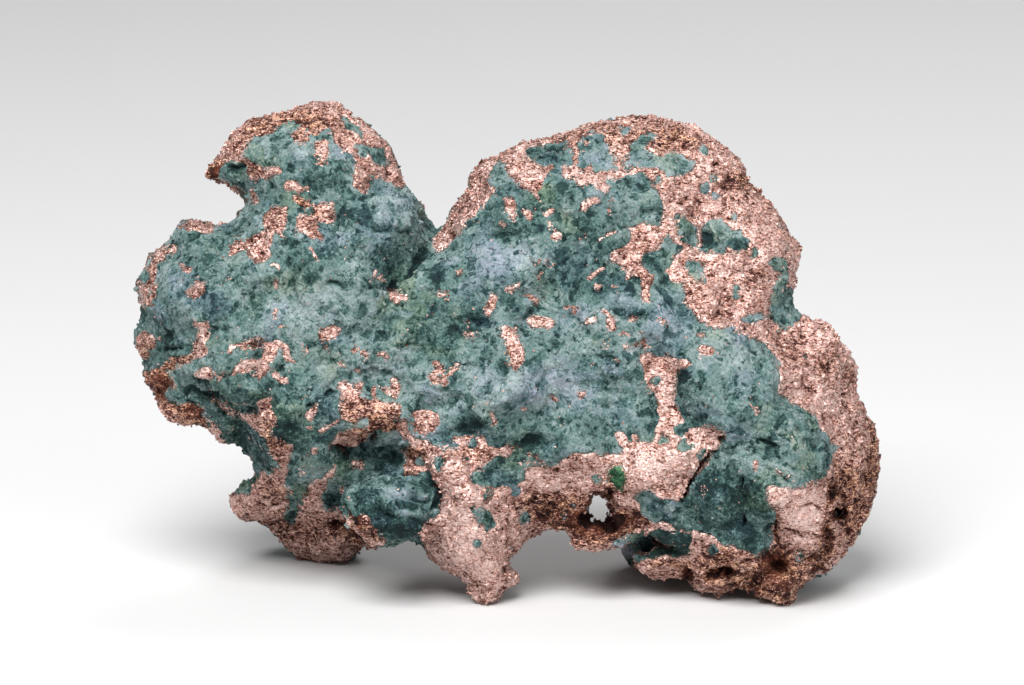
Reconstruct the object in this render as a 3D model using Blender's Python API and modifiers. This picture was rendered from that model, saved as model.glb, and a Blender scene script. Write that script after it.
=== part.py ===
"""Native copper nugget with green rock grown through it, standing on three worn feet.

The nugget is one solid. It is drawn as it looks from the front, in a leaning plane: x runs to
the right, h up the plane and t back through the nugget, all in design millimetres. At the end
the plane is tipped back by LEAN, and everything below the floor is cut off flat.
"""

import math

import bpy
import numpy as np
from mathutils import Matrix

WIDTH = 0.040  # overall width of the nugget, metres
MM = WIDTH / 40.0  # one design millimetre
LEAN = math.radians(12)  # how far the nugget leans back from upright

FRONT_SWELL = 4.0  # how far the front stands off the mid surface, mm
BACK_SWELL = 4.8  # the same for the back
RIM_HALF = 0.35  # half thickness left at the rim
ROUND_IN = 5.0  # how far in from the rim the surface levels out
ROUNDING = 0.6  # 0.5 gives a round rim, more a keener one
BLANK_HALF = 1.0  # half thickness of the flat blank that is swollen
VOXEL = 0.36  # grain of the remeshing, mm
TRIANGLES = 9400  # triangles left before the feet are cut flat

# The rim as seen from the front, clockwise from the tip of the hook: (x, h) in mm.
HEAD = [
    (-16.4, 22.9), (-16.1, 23.4), (-15.5, 24.1), (-15.0, 25.0), (-14.5, 25.5), (-13.7, 26.0),
    (-12.6, 26.3), (-11.4, 26.8), (-10.2, 27.0), (-9.4, 26.9), (-8.3, 26.2), (-7.2, 25.4),
    (-6.5, 24.7), (-6.2, 23.8), (-5.8, 23.3), (-5.8, 22.6), (-5.1, 21.8), (-4.7, 21.1),
    (-4.4, 20.4), (-4.0, 19.4),
]
RIGHT_LOBE = [
    (-3.3, 19.8), (-3.1, 20.7), (-2.4, 21.8), (-1.8, 22.6), (-2.1, 23.1), (-1.6, 23.4),
    (-0.8, 23.8), (0.1, 24.2), (1.2, 24.9), (2.3, 25.2), (3.7, 25.5), (4.3, 25.8), (5.4, 25.9),
    (7.0, 26.1), (8.2, 26.2), (9.3, 25.9), (10.2, 25.7), (11.2, 25.0), (12.2, 24.0),
    (12.8, 23.3), (13.1, 22.4), (14.0, 21.4), (14.6, 20.5), (15.3, 19.7), (15.7, 19.0),
    (15.5, 17.9), (15.4, 16.8), (15.2, 15.6),
]
RIGHT_SHOULDER = [
    (16.0, 15.2), (16.9, 15.1), (17.6, 14.5), (18.1, 14.0), (18.0, 13.1), (18.7, 13.2),
    (19.0, 12.6), (18.8, 11.5), (18.8, 10.9), (19.3, 10.6), (19.6, 9.6), (20.0, 8.6),
    (20.2, 7.6), (20.0, 6.6), (19.8, 5.5), (19.3, 4.3), (18.7, 3.3), (18.1, 2.5), (17.5, 1.6),
    (16.5, 1.4), (15.8, 1.0), (15.4, 0.4),
]
TOE_AND_FRINGE = [
    (14.9, -0.6), (14.3, 0.3), (13.5, 0.9), (12.4, 1.0), (11.5, 0.8), (10.5, 0.5),
    (10.0, 1.1), (9.7, 2.0), (9.1, 1.5), (8.0, 1.4), (7.1, 1.5), (7.0, 2.2),
]
ARCH = [
    (6.2, 3.0), (5.2, 3.1), (4.3, 2.3), (3.7, 2.7), (3.0, 3.6), (2.3, 4.1), (1.4, 3.7),
    (0.4, 3.1), (0.0, 2.3), (-0.2, 1.8), (0.8, 1.3), (-0.3, 0.7), (-0.9, 0.2),
]
TOOTH = [
    (-1.3, -0.7), (-1.7, 0.4), (-2.3, 1.4), (-3.3, 1.7), (-4.0, 2.2), (-4.3, 3.2),
]
UNDERSIDE = [
    (-5.3, 3.5), (-6.3, 3.2), (-7.2, 2.8), (-8.0, 3.4), (-8.6, 3.2),
]
LEFT_FOOT = [
    (-8.9, 2.3), (-9.8, 1.9), (-10.8, 2.7), (-11.9, 3.2), (-12.9, 3.6), (-13.7, 4.2),
    (-14.7, 4.6), (-15.4, 5.4), (-14.9, 6.0), (-13.9, 6.0), (-13.6, 7.0),
]
LEFT_SIDE = [
    (-14.0, 8.2), (-14.6, 9.0), (-15.5, 8.6), (-15.9, 9.5), (-17.0, 9.7), (-18.0, 9.8),
    (-18.6, 10.6), (-19.3, 11.4), (-19.8, 12.3), (-19.3, 12.9), (-20.0, 13.6), (-20.3, 14.4),
    (-19.8, 15.2), (-19.8, 16.2), (-19.9, 16.9), (-19.6, 18.0), (-19.1, 19.0), (-18.1, 19.2),
    (-17.7, 19.9), (-17.8, 20.7), (-16.8, 20.5), (-15.5, 20.1), (-14.4, 20.3), (-13.9, 21.1),
    (-14.0, 22.1), (-14.9, 22.7),
]
OUTLINE = (
    HEAD + RIGHT_LOBE + RIGHT_SHOULDER + TOE_AND_FRINGE + ARCH
    + TOOTH + UNDERSIDE + LEFT_FOOT + LEFT_SIDE
)

# Where the mid surface swings back (+) or forward (-): x, h, reach in x, reach in h, mm of swing.
SWINGS = {
    "left foot": (-12.2, 3.0, 5.4, 3.6, 9.2),
    "left side": (-20.0, 12.0, 4.0, 6.0, 2.4),
    "right rim": (20.0, 7.0, 3.0, 6.0, 2.2),
    "head": (-11.0, 25.5, 7.0, 3.5, 1.2),
    "top of the right lobe": (8.0, 26.0, 9.0, 3.5, 1.4),
    "tooth": (-1.3, 1.0, 2.6, 3.0, -0.8),
    "toe": (14.8, 0.4, 3.0, 2.5, -1.2),
}

# Mounds (+) and hollows (-) of the front: x, h, half width, half height, turn in degrees,
# height in mm and flatness, from 0 for a mound to 1 for a flat top with a sheer edge.
FRONT_FORMS = {
    "head mound": (-10.6, 23.9, 4.6, 3.0, -10, 0.7, 0.2),
    "upper left mass": (-11.0, 19.2, 6.0, 2.2, -6, 0.8, 0.5),
    "notch boulder": (-6.4, 20.7, 2.3, 1.7, 15, 1.5, 0.45),
    "blade by the notch": (-5.3, 19.6, 1.0, 0.5, 25, 0.7, 0.3),
    "notch crease": (-4.7, 18.6, 0.8, 2.1, -35, -1.1, 0.1),
    "purple knob": (-3.4, 17.8, 0.9, 0.8, 20, 0.5, 0.4),
    "left slope": (-17.0, 16.0, 2.6, 1.6, 15, 0.6, 0.3),
    "dark pocket left": (-17.9, 14.1, 0.9, 0.7, 0, -0.7, 0.2),
    "pocket under the copper bar": (-16.3, 11.4, 1.3, 0.6, 0, -1.3, 0.3),
    "nodule cave": (-16.3, 10.2, 0.6, 0.5, 0, -1.5, 0.4),
    "bright nodule": (-17.4, 10.3, 1.1, 0.5, -5, 0.8, 0.4),
    "side face": (-15.0, 8.2, 1.6, 3.4, -25, -1.6, 0.2),
    "copper ridge": (-12.9, 8.9, 0.7, 2.6, -40, 0.8, 0.3),
    "green pocket": (-9.7, 10.8, 1.0, 0.8, 0, -1.2, 0.3),
    "copper bench": (-7.3, 10.3, 2.3, 0.9, 12, 0.9, 0.4),
    "niche above the boulder": (-7.2, 7.9, 2.6, 1.0, -5, -1.2, 0.4),
    "niche right": (-4.9, 7.6, 1.1, 0.6, -25, -0.9, 0.4),
    "gap beside the boulder": (-8.6, 4.4, 1.2, 1.0, 10, -2.2, 0.3),
    "tooth root": (-2.6, 5.6, 1.5, 3.0, 20, 0.9, 0.4),
    "belly dip": (1.6, 6.0, 2.4, 1.2, 5, -0.5, 0.3),
    "right belly": (7.6, 7.4, 3.0, 1.2, 20, 0.6, 0.4),
    "grey swell": (1.5, 11.8, 4.6, 3.0, 10, 0.8, 0.3),
    "centre step": (-2.0, 14.8, 1.6, 0.5, -20, -0.5, 0.3),
    "lobe crown": (3.5, 21.5, 5.0, 3.6, -10, 0.6, 0.2),
    "pocket in the crown": (1.7, 24.2, 1.2, 0.5, -10, -0.8, 0.4),
    "pocket in the rim": (12.3, 19.4, 0.7, 0.5, 0, -0.7, 0.4),
    "strip valley": (8.4, 11.6, 0.8, 2.2, 5, -0.5, 0.3),
    "upper block": (11.9, 12.2, 3.2, 2.6, -25, 0.9, 0.75),
    "lower block": (12.7, 5.2, 2.0, 2.9, -8, 0.9, 0.8),
    "right block": (14.0, 8.3, 3.7, 2.4, -28, 1.1, 0.8),
    "block crack": (12.9, 4.9, 0.4, 2.0, 0, -1.3, 0.2),
    "crevice left of the block": (10.2, 6.9, 0.5, 2.4, -38, -1.3, 0.3),
    "copper shelf": (16.2, 4.4, 1.5, 1.8, 10, 0.8, 0.6),
    "shoulder dip": (15.9, 13.8, 1.2, 1.3, 0, -0.7, 0.2),
    "rolled rim": (18.7, 8.4, 0.8, 4.2, 8, 0.9, 0.3),
}

# The same for the back, seen through the nugget from the front.
BACK_FORMS = {
    "left hump": (-12.8, 14.2, 6.0, 5.0, 20, 1.6, 0.25),
    "left hump saddle": (-7.2, 16.5, 1.6, 5.5, 20, -0.5, 0.2),
    "middle hump": (-1.5, 12.0, 5.0, 4.6, -20, 1.7, 0.3),
    "right hump": (8.6, 18.0, 6.0, 5.6, 30, 1.6, 0.3),
    "right gully": (5.0, 11.4, 1.4, 5.5, -50, -0.9, 0.2),
    "low right hump": (13.4, 8.4, 4.6, 4.6, 0, 1.5, 0.3),
    "head hump": (-10.4, 22.6, 3.6, 2.6, -10, 1.1, 0.3),
    "head gully": (-11.5, 19.4, 4.0, 0.9, -5, -1.1, 0.2),
    "bench": (-3.0, 7.2, 3.6, 1.0, 12, 1.0, 0.5),
    "upper shelf": (6.5, 22.6, 4.2, 1.1, 8, 0.9, 0.5),
    "right shelf": (15.2, 13.2, 1.6, 1.9, -20, 1.0, 0.6),
    "left pit": (-15.6, 11.2, 1.2, 1.0, 0, -1.3, 0.3),
    "right pit": (11.2, 13.6, 1.0, 1.2, 30, -1.3, 0.3),
    "middle pit": (0.2, 17.2, 1.3, 0.8, -30, -1.2, 0.3),
    "low pit": (9.2, 9.6, 0.9, 0.8, 0, -1.0, 0.3),
}

# Stones and swellings joined to the body: x, h, t of the middle, then the three half sizes.
STONES = {
    "boulder": (-6.1, 5.1, -2.3, 2.6, 1.8, 2.4),
    "bridge under the window": (5.2, 3.3, -1.2, 1.8, 0.42, 0.8),
    "back foot": (9.5, 4.5, 6.8, 3.0, 3.7, 3.2),
    "back foot root": (9.8, 8.8, 5.4, 3.2, 3.8, 2.8),
    "left foot heel": (-10.1, 4.5, 9.4, 2.4, 2.7, 2.6),
    "heel root": (-10.9, 7.6, 7.0, 2.5, 3.4, 2.8),
}

# Hollows cut out of the body, with sizes given as for the stones.
CAVES = {
    "hollow behind the arch": (3.9, 3.2, 3.0, 3.0, 2.7, 3.2),
    "window": (5.05, 5.2, 1.0, 0.95, 1.05, 8.0),
    "foot of the window": (5.15, 4.6, -1.2, 1.3, 0.45, 3.4),
    "slot under the belly": (8.1, 3.1, -0.6, 1.8, 0.65, 3.6),
    "pit in the toe": (14.6, 1.9, -2.4, 0.7, 0.65, 1.8),
    "slit in the right rim": (17.9, 5.1, -0.2, 0.4, 0.9, 2.6),
    "pocket by the slit": (18.3, 3.9, 0.4, 0.5, 0.5, 2.0),
    "cave in the fringe": (11.5, 1.7, -1.2, 0.8, 0.45, 1.8),
    "gap behind the boulder": (-8.3, 4.5, 1.0, 1.2, 1.0, 3.8),
    "gap right of the foot": (-8.35, 3.0, 1.6, 0.6, 0.6, 5.0),
    "crevice right of the boulder": (-3.9, 4.9, -4.6, 0.35, 1.3, 1.8),
}

ROUGHNESS = ((5.5, 0.9), (2.3, 0.35))  # grain size and height of the rolling relief, mm
CHIPS = ((3.4, 0.75), (1.7, 0.42))  # size and height of the flat-faced chips of both faces, mm
STONE_ROUGHNESS = (0.8, 0.16)  # grain and height of a stone's unevenness, as shares of its size
STONE_CHIPS = (0.95, 0.15)  # the same for its flat faces
SKIN_ROUGHNESS = ((1.5, 0.22), (0.8, 0.12))  # the roughening along the normals, mm
SKIN_GAIN = 0.14  # what the rounding of the remeshing took off the rims, given back, mm

BACK_BUMPS = 1.3  # the back's relief over the front's
FACE_SPREAD = 3.0  # how far apart the two faces lie in the noise, mm, so that they differ
SCATTER_PRIMES = (374761393, 668265263, 2147483647, 974634777, 1274126177)

COPPER = {"color": (0.72, 0.42, 0.30, 1.0), "metallic": 0.8, "roughness": 0.45}


def clear_scene():
    """Removes the start-up objects."""
    for obj in list(bpy.data.objects):
        bpy.data.objects.remove(obj, do_unlink=True)


def smooth_step(low, high, value):
    """0 below low, 1 above high and an S curve between them."""
    share = np.clip((value - low) / (high - low), 0.0, 1.0)
    return share * share * (3.0 - 2.0 * share)


def lattice_values(cell, seed):
    """A fixed random value from -1 to 1 for each whole-numbered place."""
    key = cell @ np.array(SCATTER_PRIMES[:3]) + seed * SCATTER_PRIMES[3]
    key = (key ^ (key >> 13)) * SCATTER_PRIMES[4] & 0x7FFFFFFF
    return ((key ^ (key >> 16)) & 0xFFFF) / 32767.5 - 1.0


def lattice_noise(points, grain, seed):
    """Smooth noise from -1 to 1: random values on a cubic lattice of that grain, blended between."""
    place = points / grain + seed * 17.31
    cell = np.floor(place).astype(np.int64)
    inside = smooth_step(0.0, 1.0, place - cell)
    total = np.zeros(len(points))
    for corner in np.ndindex(2, 2, 2):
        weight = np.where(np.array(corner) == 1, inside, 1.0 - inside).prod(axis=1)
        total += weight * lattice_values(cell + corner, seed)
    return total


def chips(points, size, seed):
    """Flat-faced chips: each point takes the height and tilt of its nearest scattered centre."""
    place = points / size + seed * 5.77
    home = np.floor(place).astype(np.int64)
    nearest = np.full(len(points), np.inf)
    height = np.zeros(len(points))
    for step in np.ndindex(3, 3, 3):
        cell = home + step - 1
        jitter = np.column_stack([lattice_values(cell, seed + axis) for axis in (1, 2, 3)])
        tilt = np.column_stack([lattice_values(cell, seed + axis) for axis in (4, 5, 6)])
        off = place - cell - 0.5 - 0.42 * jitter
        gap = (off**2).sum(axis=1)
        face = 0.5 * lattice_values(cell, seed + 7) + (off * tilt).sum(axis=1)
        height = np.where(gap < nearest, face, height)
        nearest = np.minimum(nearest, gap)
    return height


def rough(points, layers, seed):
    """The sum of several layers of noise, each with its grain and height."""
    return sum(
        height * lattice_noise(points, grain, seed + number)
        for number, (grain, height) in enumerate(layers)
    )


def rim_distance(places):
    """How far each (x, h) lies from the outline."""
    starts = np.array(OUTLINE)
    sides = np.roll(starts, -1, axis=0) - starts
    nearest = np.full(len(places), np.inf)
    for start, side in zip(starts, sides):
        along = np.clip((places - start) @ side / (side @ side), 0.0, 1.0)
        gap = np.linalg.norm(places - start - along[:, None] * side, axis=1)
        nearest = np.minimum(nearest, gap)
    return nearest


def form_height(places, forms):
    """The summed height of the mounds and hollows at each (x, h)."""
    height = np.zeros(len(places))
    for x, h, half_x, half_h, turn, rise, flat in forms.values():
        angle = math.radians(turn)
        off = places - (x, h)
        along = off[:, 0] * math.cos(angle) + off[:, 1] * math.sin(angle)
        across = off[:, 1] * math.cos(angle) - off[:, 0] * math.sin(angle)
        radius = np.hypot(along / half_x, across / half_h)
        height += rise * (1.0 - smooth_step(flat, 1.15, radius))
    return height


def mid_surface(places):
    """How far back the middle of the nugget lies at each (x, h)."""
    back = np.full(len(places), 0.9)
    for x, h, reach_x, reach_h, swing in SWINGS.values():
        off = (places - (x, h)) / (reach_x, reach_h)
        back += swing * np.exp(-(off**2).sum(axis=1))
    return back


def mesh_points(mesh):
    """The vertices of a mesh as an array."""
    points = np.empty(len(mesh.vertices) * 3, np.float32)
    mesh.vertices.foreach_get("co", points)
    return points.reshape(-1, 3).astype(float)


def set_mesh_points(mesh, points):
    """Puts an array of places back into a mesh's vertices."""
    mesh.vertices.foreach_set("co", points.astype(np.float32).ravel())
    mesh.update()


def as_mesh(obj):
    """Replaces an object by a plain mesh of what its modifiers make of it."""
    graph = bpy.context.evaluated_depsgraph_get()
    mesh = bpy.data.meshes.new_from_object(obj.evaluated_get(graph))
    plain = bpy.data.objects.new(obj.name, mesh)
    plain.matrix_world = obj.matrix_world
    bpy.context.scene.collection.objects.link(plain)
    bpy.data.objects.remove(obj, do_unlink=True)
    bpy.context.view_layer.update()
    return plain


def remeshed(obj):
    """Gives an object one even skin of small faces, joining whatever overlaps in it."""
    skin = obj.modifiers.new("even_skin", "REMESH")
    skin.mode = "VOXEL"
    skin.voxel_size = VOXEL
    return as_mesh(obj)


def flat_blank():
    """The outline as a flat plate in the x-h plane, with t through its thickness."""
    curve = bpy.data.curves.new("outline", "CURVE")
    curve.dimensions = "2D"
    curve.fill_mode = "BOTH"
    curve.extrude = BLANK_HALF
    spline = curve.splines.new("POLY")
    spline.points.add(len(OUTLINE) - 1)
    for point, (x, h) in zip(spline.points, OUTLINE):
        point.co = (x, h, 0.0, 1.0)
    spline.use_cyclic_u = True
    blank = bpy.data.objects.new("blank", curve)
    bpy.context.scene.collection.objects.link(blank)
    return remeshed(as_mesh(blank))


def swell(blank):
    """Turns the flat blank into the body: round towards the rim, with the relief of both faces."""
    points = mesh_points(blank.data)
    places = points[:, :2]
    side = points[:, 2] / BLANK_HALF
    inwards = np.clip(rim_distance(places) / ROUND_IN, 0.0, 1.0)
    dome = (1.0 - (1.0 - inwards) ** 2) ** ROUNDING
    cube = np.column_stack([places, side * FACE_SPREAD])
    bumps = rough(cube, ROUGHNESS, seed=1)
    for number, (size, height) in enumerate(CHIPS, 10):
        bumps += height * chips(cube, size, number)
    front = RIM_HALF + dome * (FRONT_SWELL + bumps + form_height(places, FRONT_FORMS))
    back = RIM_HALF + dome * (BACK_SWELL + BACK_BUMPS * bumps + form_height(places, BACK_FORMS))
    points[:, 2] = mid_surface(places) + np.where(side < 0.0, side * front, side * back)
    set_mesh_points(blank.data, points)
    return blank


def pebble(name, x, h, t, half_x, half_h, half_t, seed):
    """An uneven egg of rock, from an icosphere."""
    bpy.ops.mesh.primitive_ico_sphere_add(subdivisions=4, radius=1.0, location=(0, 0, 0))
    obj = bpy.context.active_object
    obj.name = name.replace(" ", "_")
    points = mesh_points(obj.data)
    grain, height = STONE_ROUGHNESS
    size, rise = STONE_CHIPS
    uneven = 1.0 + height * lattice_noise(points, grain, seed) + rise * chips(points, size, seed)
    points *= uneven[:, None]
    set_mesh_points(obj.data, points * (half_x, half_h, half_t) + (x, h, t))
    return obj


def joined(first, others):
    """Several objects as one."""
    bpy.ops.object.select_all(action="DESELECT")
    for obj in [first, *others]:
        obj.select_set(True)
    bpy.context.view_layer.objects.active = first
    bpy.ops.object.join()
    return first


def cut_by(obj, cutter):
    """Takes the cutter's shape out of an object."""
    cutter.hide_render = True
    cutter.display_type = "WIRE"
    cut = obj.modifiers.new("cut", "BOOLEAN")
    cut.operation = "DIFFERENCE"
    cut.solver = "EXACT"
    cut.object = cutter
    result = as_mesh(obj)
    bpy.data.objects.remove(cutter, do_unlink=True)
    return result


def roughened(obj):
    """Pushes the skin in and out a little along its normals."""
    points = mesh_points(obj.data)
    normals = np.empty(len(points) * 3, np.float32)
    obj.data.vertices.foreach_get("normal", normals)
    push = SKIN_GAIN + rough(points, SKIN_ROUGHNESS, seed=7)
    set_mesh_points(obj.data, points + push[:, None] * normals.reshape(-1, 3))
    return obj


def thinned(obj):
    """Leaves about TRIANGLES triangles, where the surface turns most."""
    obj.data.calc_loop_triangles()
    fewer = obj.modifiers.new("fewer_faces", "DECIMATE")
    fewer.ratio = TRIANGLES / len(obj.data.loop_triangles)
    return as_mesh(obj)


def tipped_back(obj):
    """Turns the leaning plane to its place: x stays X, h leans back from Z, and t runs back."""
    points = mesh_points(obj.data) * MM
    sin, cos = math.sin(LEAN), math.cos(LEAN)
    x, h, t = points.T
    set_mesh_points(obj.data, np.column_stack([x, h * sin + t * cos, h * cos - t * sin]))
    obj.data.flip_normals()
    return obj


def floor_block():
    """Everything below the floor, to cut the feet flat."""
    bpy.ops.mesh.primitive_cube_add(size=1.0, location=(0, 0, -0.25 * WIDTH))
    block = bpy.context.active_object
    block.data.transform(Matrix.Diagonal((3.0 * WIDTH, 3.0 * WIDTH, 0.5 * WIDTH, 1.0)))
    return block


def centred(obj):
    """Moves the nugget so that the middle of its box stands over the origin."""
    points = mesh_points(obj.data)
    middle = (points.min(axis=0) + points.max(axis=0)) / 2.0
    set_mesh_points(obj.data, points - (middle[0], middle[1], 0.0))
    return obj


def copper_material():
    """Plain copper for the solid."""
    material = bpy.data.materials.new("native_copper")
    material.use_nodes = True
    shader = material.node_tree.nodes["Principled BSDF"]
    shader.inputs["Base Color"].default_value = COPPER["color"]
    shader.inputs["Metallic"].default_value = COPPER["metallic"]
    shader.inputs["Roughness"].default_value = COPPER["roughness"]
    return material


def build_nugget():
    """The whole nugget, from the flat blank to the cut feet."""
    body = swell(flat_blank())
    stones = [pebble(name, *sizes, seed=n) for n, (name, sizes) in enumerate(STONES.items(), 20)]
    body = remeshed(joined(body, stones))
    caves = [pebble(name, *sizes, seed=n) for n, (name, sizes) in enumerate(CAVES.items(), 40)]
    cutter = remeshed(joined(caves[0], caves[1:]))
    body = roughened(remeshed(cut_by(body, cutter)))
    nugget = centred(cut_by(tipped_back(thinned(body)), floor_block()))
    nugget.name = "copper_nugget"
    nugget.data.name = "copper_nugget"
    nugget.data.materials.clear()
    nugget.data.materials.append(copper_material())
    collection = bpy.data.collections.new("native copper nugget")
    bpy.context.scene.collection.children.link(collection)
    collection.objects.link(nugget)
    bpy.context.scene.collection.objects.unlink(nugget)
    return nugget


clear_scene()
build_nugget()
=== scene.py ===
import math

import bmesh
import bpy
import numpy as np
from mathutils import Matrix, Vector


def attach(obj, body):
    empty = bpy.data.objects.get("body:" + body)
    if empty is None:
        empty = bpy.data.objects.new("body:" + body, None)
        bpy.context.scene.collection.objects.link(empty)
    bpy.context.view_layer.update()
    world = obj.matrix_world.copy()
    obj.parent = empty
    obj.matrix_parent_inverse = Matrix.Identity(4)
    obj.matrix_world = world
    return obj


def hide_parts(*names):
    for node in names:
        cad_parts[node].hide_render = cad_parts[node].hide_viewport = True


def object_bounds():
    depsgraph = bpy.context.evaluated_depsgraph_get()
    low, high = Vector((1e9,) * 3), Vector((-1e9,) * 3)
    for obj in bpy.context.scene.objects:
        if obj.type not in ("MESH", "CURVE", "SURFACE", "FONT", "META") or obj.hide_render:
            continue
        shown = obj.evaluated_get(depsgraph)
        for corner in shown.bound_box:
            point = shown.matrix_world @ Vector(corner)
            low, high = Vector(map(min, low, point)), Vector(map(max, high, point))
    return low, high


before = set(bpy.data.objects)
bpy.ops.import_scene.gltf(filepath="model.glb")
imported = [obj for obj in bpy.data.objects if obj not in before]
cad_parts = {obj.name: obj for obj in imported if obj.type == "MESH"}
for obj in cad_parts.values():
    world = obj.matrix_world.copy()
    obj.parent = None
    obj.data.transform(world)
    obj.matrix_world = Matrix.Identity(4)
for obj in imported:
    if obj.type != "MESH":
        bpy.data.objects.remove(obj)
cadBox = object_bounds()
print("frame loaded")

# How the nugget leans and how it is looked at. Lengths are in mm.
stance = {
    "lean": math.radians(12),  # the broad face leans back this much, square to the eye
    "middle": (-0.0106, 4.3118),  # where the middle of the nugget's box lies, across and back
    "aim": (0.24, 14.0),  # the point of the leaning face that the eye looks at
    "distance": 307.2,
    "lens": 200.0,
    "film": 36.0,
    "clip": 10.0,  # nothing nearer to the eye is drawn
}
mm = 0.001
tiny = 1e-9  # keeps a run of no length from being divided by
farOff = 3.0  # mm from a drawn feature, beyond which its distance isn't worked out
leanSin, leanCos = math.sin(stance["lean"]), math.cos(stance["lean"])

# The first seed of each pattern; octaves and further sizes take the numbers after it.
seeds = {
    "warp": (31, 41), "behind": 51, "fray": 61,
    "cracks": (71, 73), "crackGaps": 75, "ledges": (191, 193),
    "rockGrain": 81, "rockShards": 85, "pits": 115,
    "lumps": 121, "copperShards": 125, "copperGrain": 151,
    "shardStep": 10,  # from one size of shards to the next
    "tones": 161,
}
# How a whole-numbered place is scattered: factors, then two folds and a cut to a few bits.
scatter = {
    "factors": (374761393, 668265263, 2147483647), "seed": 974634777, "stir": 1274126177,
    "folds": (13, 16), "cut": 0x7FFFFFFF, "steps": 0xFFFF,
    "cloudShift": 17.31, "cellShift": 5.77,  # cells that each seed moves its pattern by
}


# x to the right, h up the leaning face and t back through the nugget, in mm, from frame mm
def leaning(points):
    x, y, z = (points + (*stance["middle"], 0.0)).T
    return np.column_stack([x, y * leanSin + z * leanCos, y * leanCos - z * leanSin])


# where the eye sees each point on the leaning face: offsets from the aim shrink with depth
def asSeen(points):
    x, h, t = leaning(points).T
    shrink = stance["distance"] / (stance["distance"] + t)
    aimX, aimH = stance["aim"]
    return np.column_stack([aimX + (x - aimX) * shrink, aimH + (h - aimH) * shrink])


# 0 below low, 1 above high, and the S curve 3s^2 - 2s^3 between
def sCurve(low, high, value):
    share = np.clip((value - low) / (high - low), 0.0, 1.0)
    return share * share * (3.0 - 2.0 * share)


# a fixed scattered value from -1 to 1 for each whole-numbered place
def scatterValue(cell, seed):
    factorX, factorY, factorZ = scatter["factors"]
    first, second = scatter["folds"]
    key = cell[:, 0] * factorX + cell[:, 1] * factorY + cell[:, 2] * factorZ
    key = key + seed * scatter["seed"]
    key = (key ^ (key >> first)) * scatter["stir"] & scatter["cut"]
    return ((key ^ (key >> second)) & scatter["steps"]) / (scatter["steps"] / 2) - 1.0


# smooth noise from -1 to 1: scattered values on a cubic lattice, blended by an S curve
def cloud(points, grain, seed):
    place = points / grain + seed * scatter["cloudShift"]
    cell = np.floor(place).astype(np.int64)
    inside = sCurve(0.0, 1.0, place - cell)
    total = np.zeros(len(points))
    for corner in np.ndindex(2, 2, 2):
        weight = np.ones(len(points))
        for axis in range(3):
            weight *= inside[:, axis] if corner[axis] else 1.0 - inside[:, axis]
        total += weight * scatterValue(cell + corner, seed)
    return total


# each octave has half the grain and the given share of the height of the one before
def clouds(points, grain, seed, octaves=3, share=0.5):
    total = np.zeros(len(points))
    height = 1.0
    for octave in range(octaves):
        total += height * cloud(points, grain * 0.5**octave, seed + octave)
        height *= share
    return total


# places on the face pushed about by noise, so that what is drawn there gets ragged edges
def bent(points, places, grain, push, pair, octaves=2):
    bend = np.column_stack([clouds(points, grain, seed, octaves) for seed in pair])
    return places + push * bend


shardLook = {"jitter": 0.42, "rise": 0.5}  # of the centres, in cells, and of whole faces


# For each of some cells around the points: the cell, and the way there in cells from a centre
# that the scatter has moved off the middle.
def cellsAround(place, cells, seed, jitter):
    for cell in cells:
        off = place - cell - 0.5
        for axis in range(3):
            off[:, axis] -= jitter * scatterValue(cell, seed + axis)
        yield cell, off, np.sqrt((off**2).sum(axis=1))


# broken faces: every point takes the tilt and height of its nearest scattered centre;
# also gives how far it is from the seam to the next face, and a value of the face's own
def shards(points, size, seed):
    place = points / size + seed * scatter["cellShift"]
    home = np.floor(place).astype(np.int64)
    first = np.full(len(points), np.inf)
    second = np.full(len(points), np.inf)
    height = np.zeros(len(points))
    own = np.zeros(len(points))
    near = (home + step - 1 for step in np.ndindex(3, 3, 3))
    for cell, off, gap in cellsAround(place, near, seed + 1, shardLook["jitter"]):
        tone = scatterValue(cell, seed + 7)
        tilt = off[:, 0] * scatterValue(cell, seed + 4) + off[:, 1] * scatterValue(cell, seed + 5)
        tilt += off[:, 2] * tone
        closer = gap < first
        second = np.where(closer, first, np.minimum(second, gap))
        height = np.where(closer, shardLook["rise"] * tone + tilt, height)
        own = np.where(closer, tone, own)
        first = np.minimum(first, gap)
    return height, (second - first) * size, own


# distance in mm from each place to a chain of straight runs
def chainDistance(places, chain):
    nearest = np.full(len(places), np.inf)
    for start, end in zip(chain[:-1], chain[1:]):
        start, side = np.array(start), np.subtract(end, start)
        along = np.clip((places - start) @ side / max(side @ side, tiny), 0.0, 1.0)
        gap = np.linalg.norm(places - start - along[:, None] * side, axis=1)
        nearest = np.minimum(nearest, gap)
    return nearest


# only the places within reach of a drawn feature are worked on
def nearby(places, drawn, reach):
    low = np.min(drawn, axis=0) - reach
    high = np.max(drawn, axis=0) + reach
    return np.flatnonzero(((places > low) & (places < high)).all(axis=1))


# mm inside a drawn patch (+) or outside it (-): distance to its edge, signed by a crossing count
def patchDepth(places, patch):
    closed = patch + patch[:1]
    inside = np.zeros(len(places), bool)
    for (x0, h0), (x1, h1) in zip(closed[:-1], closed[1:]):
        spans = (h0 > places[:, 1]) != (h1 > places[:, 1])
        crossing = x0 + (places[:, 1] - h0) * (x1 - x0) / ((h1 - h0) or tiny)
        inside ^= spans & (places[:, 0] < crossing)
    gap = chainDistance(places, closed)
    return np.where(inside, gap, -gap)


# the deepest of several drawn features: patches as outlines, and veins as (half width, chain)
def drawnDepth(places, patches, veins):
    depth = np.full(len(places), -farOff)
    for patch in patches.values():
        at = nearby(places, patch, farOff)
        depth[at] = np.maximum(depth[at], patchDepth(places[at], patch))
    for half, chain in veins:
        at = nearby(places, chain, farOff)
        depth[at] = np.maximum(depth[at], half - chainDistance(places[at], chain))
    return depth


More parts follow.
